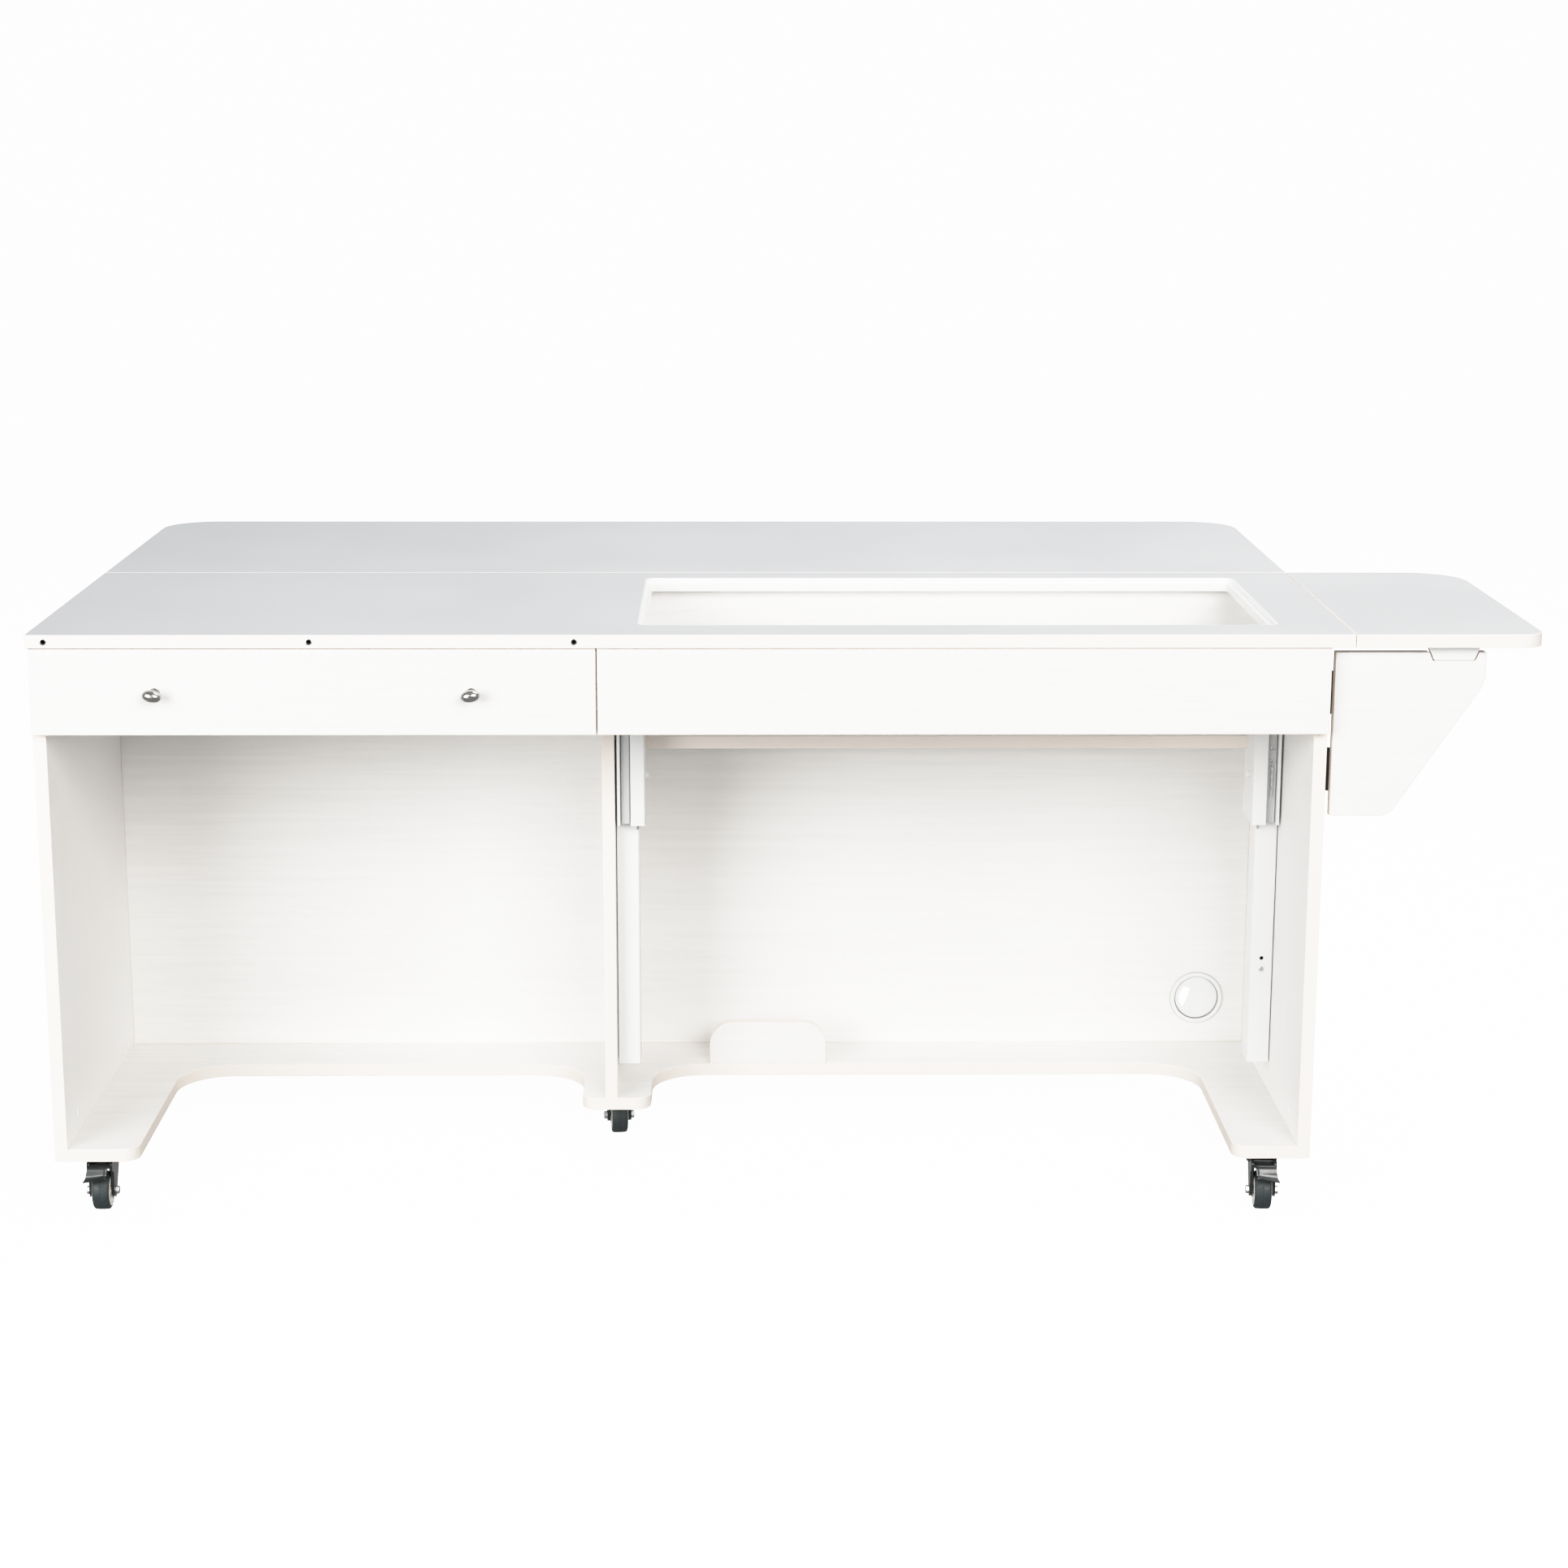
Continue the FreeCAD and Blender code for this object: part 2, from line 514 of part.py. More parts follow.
def lift_small_parts():
    """Dark guide strips in the carriages, bolt caps, web screws and the angle brackets."""
    inner = "(rail_width + carriage_play + carriage_flange)"
    strips, caps, angles = [], [], []
    for side in ("left", "right"):
        gap = f"({inner} - carriage_box - carriage_wall * 3 / 2 - 2 * guide_gap)"
        strips.append(box(f"guide_{side}",
                          (across_from(side, "(carriage_wall * 3 / 2 + guide_gap)", gap),
                           "rail_front - carriage_play - carriage_web - guide_thick",
                           "carriage_bottom + guide_gap"),
                          (gap, "guide_thick", "carriage_top - carriage_bottom - 2 * guide_gap")))
        caps.append(rod(f"bolt_cap_{side}",
                        (across_from(side, inner, "bolt_cap_long"), "bolt_back", "bolt_up"),
                        "bolt_cap", "bolt_cap_long", ALONG_X))
        upright = box(f"angle_{side}_upright",
                      (across_from(side, inner, "angle_sheet"), "flange_back - 54", "angle_low"),
                      ("angle_sheet", "54", "platform_up - angle_low"))
        flat = box(f"angle_{side}_flat",
                   (across_from(side, inner, "angle_reach"), "angle_front",
                    "platform_up - angle_sheet"),
                   ("angle_reach", "angle_length", "angle_sheet"))
        angles.append(fuse(f"angle_{side}", [upright, flat]))
        middle = across_from(side, "(carriage_wall * 3 / 2 + guide_gap + " + gap + " / 2)", "0")
        if side == "right":
            face = "rail_front - carriage_play - carriage_web - guide_thick"
            screws = [screw_head(up, (middle, face, up)) for up in ("screw_high", "screw_low")]
    node(group("guides", strips), "lift_guide_strips")
    node(group("angles", angles), "lift_angle_brackets")
    node(group("carriage_fasteners", caps + screws), "lift_fasteners")


def screw_head(name, at):
    """Pan head that stands forward of the face at its place."""
    back = f"{at[1]} - head_thick"
    return rod(name, (at[0], back, at[2]), "head_radius", "head_thick", ALONG_Y)


def lift_boards():
    """Platform that carries the machine and the bar that ties the two carriages."""
    left = "(divider_left + board + rail_off + rail_width + carriage_play + carriage_flange)"
    right = "(panel_right - rail_off - rail_width - carriage_play - carriage_flange)"
    platform = box("platform", (f"{left} + platform_gap", "platform_front", "platform_up"),
                   (f"{right} - {left} - 2 * platform_gap", "platform_depth", "board"))
    bar = box("cross_bar", (left, "bar_front", "bar_up"), (f"{right} - {left}", "board", "board"))
    node(platform, "lift_platform")
    node(bar, "lift_cross_bar")


def gas_springs():
    """A gas spring in each rail: cylinder fixed at its foot, rod hung from the carriage's lug."""
    cylinders, rods = [], []
    for side in ("left", "right"):
        across = across_from(side, "(rail_width / 2)", "0")
        at = (across, "gas_back", "gas_bottom")
        tube = rod(f"gas_tube_{side}", at, "gas_radius", "gas_length")
        foot = box(f"gas_foot_{side}",
                   (across_from(side, "rail_sheet", "(rail_width - 2 * rail_sheet)"),
                    "gas_back - gas_radius", "gas_bottom - gas_foot"),
                   ("rail_width - 2 * rail_sheet", "2 * gas_radius", "gas_foot"))
        bore = rod(f"gas_bore_{side}", (across, "gas_back", "gas_bottom + gas_wall"),
                   "gas_radius - gas_wall", "gas_length - 4 * gas_wall")
        gland = rod(f"gas_gland_{side}", (across, "gas_back", "gas_bottom + gas_wall"),
                    "rod_radius + rod_play", "gas_length")
        cylinders.append(cut(f"gas_cylinder_{side}", fuse(f"gas_body_{side}", [tube, foot]),
                             [bore, gland]))
        shaft = rod(f"gas_shaft_{side}", (across, "gas_back", "rod_bottom"), "rod_radius",
                    "lug_up - rod_bottom")
        piston = rod(f"gas_piston_{side}", (across, "gas_back", "rod_bottom"), "piston_radius",
                     "piston_long")
        rods.append(fuse(f"gas_rod_{side}", [shaft, piston]))
    node(group("gas_cylinders", cylinders), "lift_gas_cylinders")
    node(group("gas_rods", rods), "lift_gas_rods")


def gate_board():
    """Swinging bracket board that holds the side leaf up, notched for the catch."""
    points = [("0", "0"), ("gate_foot", "0"), ("gate_width", "gate_slope"),
              ("gate_width", "gate_height"), ("0", "gate_height")]
    board = outline("gate", points, "board", ("gate_left", "gate_front + board", "gate_bottom"),
                    FACING, [("gate_toe_round", (1,)), ("gate_side_round", (2,))])
    notch = catch_shape("gate_notch", "catch_play", "1", "gate_front - 1", "board + 2")
    return node(cut("gate_cut", board, [notch]), "gate_board")


def catch_shape(name, play, rise, front, thick):
    """The catch's taper, widened by play all round and raised at its top."""
    slant = "(catch_top_width - catch_bottom_width) / 2"
    points = [(f"{slant} - {play}", "0"), (f"{slant} + catch_bottom_width + {play}", "0"),
              (f"catch_top_width + {play}", f"catch_drop + {rise}"), (f"-{play}", f"catch_drop + {rise}")]
    drop = f"top_height - board - catch_drop - {play} / 4"
    return outline(name, points, thick, ("catch_left", f"{front} + {thick}", drop), FACING)


def leaf_catch():
    """White plastic block under the side leaf that drops into the bracket board's notch."""
    return node(catch_shape("catch", "0", "0", "gate_front", "board"), "leaf_catch")


def butt_hinge(name, pin_x, pin_y, low, plates):
    """One butt hinge on a vertical pin. plates are the two plates' boxes: fixed, then moving."""
    third = "(hinge_height / 3)"
    fixed, moving = [box(f"{name}_plate_{i}", at, size) for i, (at, size) in enumerate(plates)]
    outer = [rod(f"{name}_knuckle_{i}", (pin_x, pin_y, f"{low} + {2 * i} * {third}"),
                 "knuckle_radius", third) for i in range(2)]
    inner = rod(f"{name}_knuckle_2", (pin_x, pin_y, f"{low} + {third} + hinge_slit"),
                "knuckle_radius", f"{third} - 2 * hinge_slit")
    bores = [rod(f"{name}_bore_{i}", (pin_x, pin_y, f"{low} - 1"), radius, "hinge_height + 2")
             for i, radius in enumerate(("pin_radius", "pin_radius + pin_play"))]
    gap = rod(f"{name}_gap", (pin_x, pin_y, f"{low} + {third}"), "knuckle_radius + hinge_slit", third)
    ends = [rod(f"{name}_end_{i}", (pin_x, pin_y, f"{low} + {2 * i} * ({third}) - {i} * hinge_slit"),
                "knuckle_radius + hinge_slit", f"{third} + hinge_slit") for i in range(2)]
    left = cut(f"{name}_fixed", fuse(f"{name}_f",
                                     [cut(f"{name}_fp", fixed, [gap])] + outer), [bores[0]])
    right = cut(f"{name}_moving", fuse(f"{name}_m",
                                       [cut(f"{name}_mp", moving, ends), inner]), [bores[1]])
    pin = rod(f"{name}_pin", (pin_x, pin_y, low), "pin_radius", "hinge_height")
    return left, right, pin


def butt_hinges():
    """Two hinges between the right end panel and the bracket board, two behind the modesty panel."""
    outer = "panel_right + board"
    still, gate, leg = [], [], []
    for i, low in enumerate(("low_hinge", "high_hinge")):
        fixed = ((outer, "gate_pin_y", low), ("hinge_sheet", "hinge_reach", "hinge_height"))
        moving = (("gate_pin_x", "gate_front + board", low),
                  ("hinge_reach", "hinge_sheet", "hinge_height"))
        halves = butt_hinge(f"gate_hinge_{i}", "gate_pin_x", "gate_pin_y", low, (fixed, moving))
        still += [halves[0], halves[2]]
        gate.append(halves[1])
    for i, low in enumerate(("leg_low_hinge", "leg_high_hinge")):
        fixed = (("leg_pin_x - hinge_reach", "modesty_front + board", low),
                 ("hinge_reach", "hinge_sheet", "hinge_height"))
        moving = (("leg_pin_x + leg_gap - hinge_sheet", "leg_pin_y", low),
                  ("hinge_sheet", "hinge_reach", "hinge_height"))
        halves = butt_hinge(f"leg_hinge_{i}", "leg_pin_x", "leg_pin_y", low, (fixed, moving))
        still += [halves[0], halves[2]]
        leg.append(halves[1])
    node(group("hinges_fixed", still), "butt_hinges_fixed")
    node(group("gate_moving", gate), "gate_hinge_moving")
    node(group("leg_moving", leg), "back_leg_hinge_moving")


def leg_board():
    """Board behind the body that swings out under the back leaf, with a post and glide at its end."""
    left = "leg_pin_x + leg_gap"
    board = box("leg", (left, "leg_pin_y + leg_gap", "leg_bottom"),
                ("board", "leg_depth", "top_height - board - leg_top_gap - leg_bottom"))
    post = rod("leg_post", (f"{left} + board / 2", "glide_back", "glide_gap"), "glide_radius",
               "leg_bottom - glide_gap")
    node(board, "back_leg_board")
    node(post, "back_leg_glide")


def cam_covers():
    """Thin covers over the cam fastenings, low on the inner faces of the end panels."""
    covers = []
    for i, across in enumerate(("panel_left + board", "panel_right - cam_thick")):
        for back in ("cam_front", "cam_back"):
            covers.append(rod(f"cam_{i}_{back}", (across, back, "cam_up"), "cam_radius",
                              "cam_thick", ALONG_X))
    return node(group("cams", covers), "cam_covers")


def rail_screw():
    """Pan-head screw low on the front of the right rail."""
    at = (across_from("right", "(rail_width / 2)", "0"), "rail_front", "screw_rail")
    return node(screw_head("rail_head", at), "rail_screw")


def caster_plates():
    """Top plate and kingpin of every caster, screwed up under the base board."""
    plates = []
    under = "base_top - board"
    for name, (across, back, turn, brake) in CASTERS.items():
        plate = box(f"plate_{name}", (f"{across} - plate_size / 2", f"{back} - plate_size / 2",
                                      f"{under} - plate_thick"),
                    ("plate_size", "plate_size", "plate_thick"))
        pin = rod(f"kingpin_{name}", (across, back, "fork_top - crown_thick"), "kingpin_radius",
                  f"{under} - plate_thick - fork_top + crown_thick")
        plates.append(fuse(f"plate_and_pin_{name}", [plate, pin]))
    return node(group("plates", plates), "caster_plates")


def set_down(piece, name, kind):
    """Puts a piece made in the caster's own frame where its caster stands."""
    across, back, turn, brake = CASTERS[name]
    place(piece, (across, back, "0"), FreeCAD.Rotation(FreeCAD.Vector(0, 0, 1), turn))
    return node(piece, f"caster_{name}_{kind}")


def caster_fork(name):
    """Round crown with two tapering legs that hold the axle."""
    start = "fork_top - crown_thick"
    crown = rod(f"{name}_crown", ("0", "0", start), "crown_radius", "crown_thick", FLAT, ORIGIN)
    legs = []
    for i, side in enumerate(("-fork_gap / 2 - fork_wall", "fork_gap / 2")):
        points = [("leg_front", "fork_top"), ("ear_front", "ear_top"), ("ear_front", "ear_bottom"),
                  ("leg_front", "ear_bottom - crown_thick / 2"), ("-trail - leg_eye", "wheel_up"),
                  ("-trail - leg_eye", "wheel_up - leg_eye"), ("leg_eye - trail", "wheel_up - leg_eye"),
                  ("leg_eye - trail", "wheel_up"), ("leg_back", "fork_top - crown_thick / 2"),
                  ("leg_back", "fork_top")]
        if not CASTERS[name][3]:
            del points[1:3]
        eyes = (len(points) - 5, len(points) - 4)
        legs.append(outline(f"{name}_leg_{i}", points, "fork_wall", (side, "0", "0"), SIDEWAYS,
                            [("leg_eye - 1", eyes)], ORIGIN))
    bridge = box(f"{name}_bridge", ("-fork_gap / 2", "leg_front", start),
                 ("fork_gap", "leg_back - leg_front", "crown_thick"), ORIGIN)
    socket = rod(f"{name}_socket", ("0", "0", f"{start} - 1"), "kingpin_radius + kingpin_play",
                 "crown_thick + 2", FLAT, ORIGIN)
    eye = rod(f"{name}_eye", ("-fork_gap", "-trail", "wheel_up"), "axle_radius", "2 * fork_gap",
              ALONG_X, ORIGIN)
    solid = fuse(f"{name}_fork_solid", [crown, bridge] + legs)
    if CASTERS[name][3]:
        pin = rod(f"{name}_pedal_pin", ("-fork_gap / 2 - fork_wall", "pedal_hinge_y", "pedal_hinge_z"),
                  "pedal_pin", "fork_gap + 2 * fork_wall", ALONG_X, ORIGIN)
        solid = fuse(f"{name}_fork_pinned", [solid, pin])
    return cut(f"{name}_fork", solid, [socket, eye])


def caster_axle(name):
    """Axle bolt with a nut at each end."""
    reach = "fork_gap / 2 + fork_wall"
    shaft = rod(f"{name}_shaft", (f"-({reach})", "-trail", "wheel_up"), "axle_radius",
                f"2 * ({reach})", ALONG_X, ORIGIN)
    nuts = []
    for i, start in enumerate((f"-({reach}) - nut_thick", reach)):
        nut = primitive("Part::Prism", f"{name}_nut_{i}",
                        {"Circumradius": "nut_radius", "Height": "nut_thick"},
                        (start, "-trail", "wheel_up"), ALONG_X, ORIGIN)
        nut.Polygon = 6
        nuts.append(nut)
    return fuse(f"{name}_axle", [shaft] + nuts)


def across_wheel(name, radius, width):
    """Cylinder on the wheel's axis, centred between the fork legs."""
    return rod(name, (f"-({width}) / 2", "-trail", "wheel_up"), radius, width, ALONG_X, ORIGIN)


def caster_hub(name):
    """Wheel centre with a dished face each side, turning on the axle."""
    disc = across_wheel(f"{name}_hub_disc", "tyre_bore", "hub_width")
    dishes = []
    for i, start in enumerate(("-hub_width / 2 - 1", "hub_width / 2 - hub_dish")):
        ring = rod(f"{name}_dish_{i}", (start, "-trail", "wheel_up"), "tyre_bore - hub_rim",
                   "hub_dish + 1", ALONG_X, ORIGIN)
        boss = rod(f"{name}_boss_{i}", (start, "-trail", "wheel_up"), "hub_boss", "hub_dish + 1",
                   ALONG_X, ORIGIN)
        dishes.append(cut(f"{name}_ring_{i}", ring, [boss]))
    bore = across_wheel(f"{name}_hub_bore", "hub_bore", "2 * hub_width")
    return cut(f"{name}_hub", disc, dishes + [bore])


def caster_tyre(name):
    """Rubber tyre with rounded shoulders."""
    ring = across_wheel(f"{name}_tyre_ring", "wheel_radius", "tyre_width")
    doc.recompute()
    rounded = doc.addObject("Part::Fillet", f"{name}_tyre_round")
    rounded.Base = ring
    rims = [i for i, e in enumerate(ring.Shape.Edges, start=1)
            if isinstance(e.Curve, Part.Circle)]
    rounded.Edges = [(i, value("tyre_round"), value("tyre_round")) for i in rims]
    bore = across_wheel(f"{name}_tyre_bore", "tyre_bore", "2 * tyre_width")
    return cut(f"{name}_tyre", rounded, [bore])


def brake_pedal(name):
    """Pressed pedal on a pin between the fork's ears, hanging over the front of the wheel."""
    barrel = rod(f"{name}_barrel", ("-pedal_nose / 2", "pedal_hinge_y", "pedal_hinge_z"),
                 "pedal_barrel", "pedal_nose", ALONG_X, ORIGIN)
    neck = box(f"{name}_neck", ("-pedal_nose / 2", "pedal_start", "pedal_hinge_z - pedal_thick / 2"),
               ("pedal_nose", "pedal_hinge_y - pedal_start", "pedal_thick"), ORIGIN)
    points = [("pedal_start", "pedal_hinge_z - pedal_thick"),
              ("pedal_start", "pedal_hinge_z + pedal_thick"),
              ("pedal_tip_y", "pedal_tip_z + pedal_thick"), ("pedal_tip_y", "pedal_tip_z")]
    plate = outline(f"{name}_pedal_plate", points, "pedal_width", ("-pedal_width / 2", "0", "0"),
                    SIDEWAYS, (), ORIGIN)
    bore = rod(f"{name}_pedal_bore", ("-pedal_nose", "pedal_hinge_y", "pedal_hinge_z"),
               "pedal_pin + pedal_play", "2 * pedal_nose", ALONG_X, ORIGIN)
    return cut(f"{name}_pedal", fuse(f"{name}_pedal_solid", [barrel, neck, plate]), [bore])


def casters():
    """Five swivel casters, the two at the front with brakes. The rear ones share nodes in pairs."""
    for name, (across, back, turn, brake) in CASTERS.items():
        fork, axle = caster_fork(name), caster_axle(name)
        hub, tyre = caster_hub(name), caster_tyre(name)
        if name.startswith("rear"):
            set_down(group(f"{name}_fork_set", [fork, axle]), name, "fork")
            set_down(group(f"{name}_wheel_set", [hub, tyre]), name, "wheel")
            continue
        for kind, piece in (("fork", fork), ("axle", axle), ("hub", hub), ("tyre", tyre)):
            set_down(piece, name, kind)
        if brake:
            set_down(brake_pedal(name), name, "pedal")


worktop()
edge_inserts()
leaves()
leaf_hinges()
panels()
center_divider()
modesty_panel()
base_board()
front_boards()
pedal_stop_board()
grommet()
drawer_box()
drawer_runners()
knobs()
for end in ("left", "right"):
    lift_rail(end)
    lift_carriage(end)
lift_small_parts()
lift_boards()
gas_springs()
gate_board()
leaf_catch()
butt_hinges()
leg_board()
cam_covers()
rail_screw()
caster_plates()
casters()
doc.recompute()

for thing in doc.Objects:
    if "Invalid" in thing.State or "Error" in thing.State:
        raise RuntimeError(f"{thing.Name} did not compute: {thing.State}")
os.makedirs("parts", exist_ok=True)
for name, piece in nodes.items():
    if piece.Shape.isNull() or not piece.Shape.isValid():
        raise RuntimeError(f"{name} has no valid shape")
    piece.Shape.exportStep(f"parts/{name}.step")
    bounds = piece.Shape.BoundBox
    print(f"{name:30s} solids {len(piece.Shape.Solids)} volume {piece.Shape.Volume / 1000:9.1f} cm3"
          f"  X {bounds.XMin:8.1f} {bounds.XMax:8.1f}  Y {bounds.YMin:8.1f} {bounds.YMax:8.1f}"
          f"  Z {bounds.ZMin:7.1f} {bounds.ZMax:7.1f}")
print(len(nodes), "nodes")
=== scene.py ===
"""A white sewing table on casters: folding worktop, machine cut-out over a lift, drawer, two knee
bays and a bracket board under the side leaf. Sections follow the table as it is put together."""

import json
import math

import bmesh
import bpy
import numpy as np
from mathutils import Matrix, Vector
from mathutils.geometry import tessellate_polygon


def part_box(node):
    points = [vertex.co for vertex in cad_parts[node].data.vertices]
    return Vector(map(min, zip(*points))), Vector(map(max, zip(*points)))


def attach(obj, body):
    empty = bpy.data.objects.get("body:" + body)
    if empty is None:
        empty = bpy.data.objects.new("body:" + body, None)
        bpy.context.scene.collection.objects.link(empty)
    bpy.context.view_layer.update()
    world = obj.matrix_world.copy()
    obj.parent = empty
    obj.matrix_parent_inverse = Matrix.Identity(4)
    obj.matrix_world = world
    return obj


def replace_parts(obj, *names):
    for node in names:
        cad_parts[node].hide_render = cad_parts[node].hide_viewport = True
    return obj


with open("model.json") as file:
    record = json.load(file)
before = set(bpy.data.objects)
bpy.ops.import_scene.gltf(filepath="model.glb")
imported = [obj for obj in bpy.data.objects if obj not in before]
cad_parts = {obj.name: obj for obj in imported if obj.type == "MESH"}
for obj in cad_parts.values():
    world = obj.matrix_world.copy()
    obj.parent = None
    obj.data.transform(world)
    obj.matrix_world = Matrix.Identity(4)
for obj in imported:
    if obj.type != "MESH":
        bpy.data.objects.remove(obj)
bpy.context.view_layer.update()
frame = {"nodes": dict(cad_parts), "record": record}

# --- Camera and studio -------------------------------------------------------------------------
# A pale floor that sweeps up into a wall, lit by large soft boxes, with the camera at standing
# height in front of the table and a little left of its middle.

CAMERA_PLACE = (-0.0600, -4.2316, 1.4271)
CAMERA_PITCH, CAMERA_YAW, CAMERA_ROLL = 12.814, 0.854, 0.125
SENSOR, LENS, NEAR, FAR = 36.0, 70.23, 0.05, 60


def aimed(place, pitch, yaw, roll):
    """Matrix of a camera that looks along +Y, turned right by yaw, down by pitch, then rolled."""
    p, y, r = (math.radians(angle) for angle in (pitch, yaw, roll))
    ahead = Vector((math.sin(y) * math.cos(p), math.cos(y) * math.cos(p), -math.sin(p)))
    level = Vector((math.cos(y), -math.sin(y), 0))
    upright = level.cross(ahead)
    right = level * math.cos(r) + upright * math.sin(r)
    above = upright * math.cos(r) - level * math.sin(r)
    turn = Matrix((right, above, -ahead)).transposed().to_4x4()
    return Matrix.Translation(place) @ turn


lens = bpy.data.cameras.new("camera")
lens.sensor_width, lens.lens = SENSOR, LENS
lens.clip_start, lens.clip_end = NEAR, FAR
camera = bpy.data.objects.new("camera", lens)
camera.matrix_world = aimed(CAMERA_PLACE, CAMERA_PITCH, CAMERA_YAW, CAMERA_ROLL)
bpy.context.scene.collection.objects.link(camera)
bpy.context.scene.camera = camera
bpy.context.scene.view_settings.view_transform = "Standard"


class Shade:
    """A value on its way through a material. Python's operators on it add Math nodes."""

    def __init__(self, finish, socket):
        self.finish, self.socket = finish, socket

    def math(self, operation, *numbers):
        """A Math node on numbers or values, its sockets filled in order."""
        return self.finish.add("ShaderNodeMath", {"operation": operation},
                               dict(enumerate(numbers)))

    def __add__(self, other):
        return self.math("ADD", self, other)

    def __sub__(self, other):
        return self.math("SUBTRACT", self, other)

    def __rsub__(self, other):
        return self.math("SUBTRACT", other, self)

    def __mul__(self, other):
        return self.math("MULTIPLY", self, other)

    __radd__, __rmul__ = __add__, __mul__


class Finish:
    """A material on one Principled shader. Constants go straight on the shader's own sockets."""

    def __init__(self, name, **constants):
        self.material = bpy.data.materials.new(name)
        self.material.use_nodes = True
        self.nodes = self.material.node_tree.nodes
        self.shader = self.nodes["Principled BSDF"]
        for socket, number in constants.items():
            self.plug(self.shader.inputs[socket.replace("_", " ").title()], number)

    def plug(self, socket, value):
        """Links a Shade into a socket, or sets the socket to a constant."""
        if isinstance(value, Shade):
            self.material.node_tree.links.new(value.socket, socket)
        else:
            socket.default_value = value

    def add(self, kind, settings, sockets, output=0):
        """A node of that kind: its settings first, then the values or links of its sockets."""
        node = self.nodes.new(kind)
        for name, setting in settings.items():
            setattr(node, name, setting)
        for name, value in sockets.items():
            self.plug(node.inputs[name], value)
        return Shade(self, node.outputs[output])

    def place(self, stretch=(1, 1, 1)):
        """Object coordinates, each axis multiplied by its stretch."""
        point = self.add("ShaderNodeTexCoord", {}, {}, "Object")
        return self.add("ShaderNodeMapping", {}, {"Vector": point, "Scale": stretch})

    def noise(self, place, scale, detail=2.0, roughness=0.5):
        """Cloudy noise between 0 and 1, in lumps of 1 / scale."""
        sockets = {"Vector": place, "Scale": scale, "Detail": detail, "Roughness": roughness}
        return self.add("ShaderNodeTexNoise", {}, sockets, "Fac")

    def between(self, value, low, high, start=0.0, stop=1.0):
        """start where value is low, stop where it is high, and a smooth step between."""
        sockets = {"Value": value, "From Min": low, "From Max": high,
                   "To Min": start, "To Max": stop}
        return self.add("ShaderNodeMapRange", {"interpolation_type": "SMOOTHSTEP"}, sockets)

    def blend(self, amount, first, second):
        """first where amount is 0, second where it is 1. Both are colours."""
        return self.add("ShaderNodeMix", {"data_type": "RGBA"},
                        {"Factor": amount, 6: (*first, 1), 7: (*second, 1)}, 2)

    def relief(self, height, depth):
        """Bump of that depth in metres from a height of 0 to 1."""
        self.plug(self.shader.inputs["Normal"],
                  self.add("ShaderNodeBump", {}, {"Height": height, "Distance": depth}))

    def feed(self, **sockets):
        """Links or sets the shader's sockets by name."""
        for name, value in sockets.items():
            self.plug(self.shader.inputs[name.replace("_", " ").title()], value)


SHARP = math.radians(35)


def grid_faces(rows, columns, closed_rows=False, closed_columns=False):
    """Four-sided faces of a grid of points, with the last row or column joined to the first."""
    row = np.arange(rows if closed_rows else rows - 1)[:, None]
    column = np.arange(columns if closed_columns else columns - 1)[None, :]
    after, beside = (row + 1) % rows, (column + 1) % columns
    corners = (row * columns + column, row * columns + beside,
               after * columns + beside, after * columns + column)
    return np.stack(np.broadcast_arrays(*corners), axis=-1).reshape(-1, 4)


def solid(name, points, faces, finish):
    """A mesh object from points (any shape, three numbers last) and lists of faces."""
    mesh = bpy.data.meshes.new(name)
    mesh.from_pydata(np.asarray(points).reshape(-1, 3).tolist(), [],
                     [face for part in faces for face in np.asarray(part).tolist()])
    mesh.materials.append(finish.material)
    mesh.shade_smooth()
    mesh.set_sharp_from_angle(angle=SHARP)
    piece = bpy.data.objects.new(name, mesh)
    bpy.context.scene.collection.objects.link(piece)
    return piece


def soft_shoulder(settings, start, most, points=14):
    """Tone curve on scene light: straight up to start, then 1 - exp(-x) towards full white, so that
    well lit white boards keep their shading. Its points run up to the light level most."""
    settings.use_curve_mapping = True
    mapping = settings.curve_mapping
    mapping.white_level = (most,) * 3
    light = np.concatenate([[0, start], np.linspace(start, most, points)[1:]])
    room = 1 - start
    shown = np.where(light > start, start + room * (1 - np.exp((start - light) / room)), light)
    curve = mapping.curves[3]
    for place, level in zip(light[1:-1], shown[1:-1]):
        curve.points.new(place / most, level)
    curve.points[0].location = (0, 0)
    curve.points[-1].location = (1, shown[-1])
    for point in curve.points:
        point.handle_type = "AUTO_CLAMPED"
    mapping.update()


soft_shoulder(bpy.context.scene.view_settings, start=0.62, most=2.6)

ROOM_RADIUS, SWEEP, ROOM_HEIGHT, ROOM_SIDES = 7.0, 3.0, 9.0, 96
studio = Finish("studio", roughness=0.9, emission_strength=1.6, emission_color=(1, 1, 1, 1))
studio.feed(base_color=studio.blend(studio.noise(studio.place(), 0.6), (0.55,) * 3, (0.57,) * 3))
bend = np.radians(np.linspace(0, 90, 16))
profile = np.concatenate([
    [(0, 0), (2, 0), (4, 0)],
    np.stack([ROOM_RADIUS + SWEEP * np.sin(bend), SWEEP - SWEEP * np.cos(bend)], 1),
    [(ROOM_RADIUS + SWEEP, ROOM_HEIGHT)]])
around = np.linspace(0, 2 * math.pi, ROOM_SIDES, endpoint=False)[None, :]
sweep = np.stack([profile[:, :1] * np.cos(around), profile[:, :1] * np.sin(around),
                  np.broadcast_to(profile[:, 1:], (len(profile), ROOM_SIDES))], axis=-1)
floor = solid("floor", sweep, [grid_faces(*sweep.shape[:2], closed_columns=True)], studio)
floor.visible_diffuse = floor.visible_glossy = False


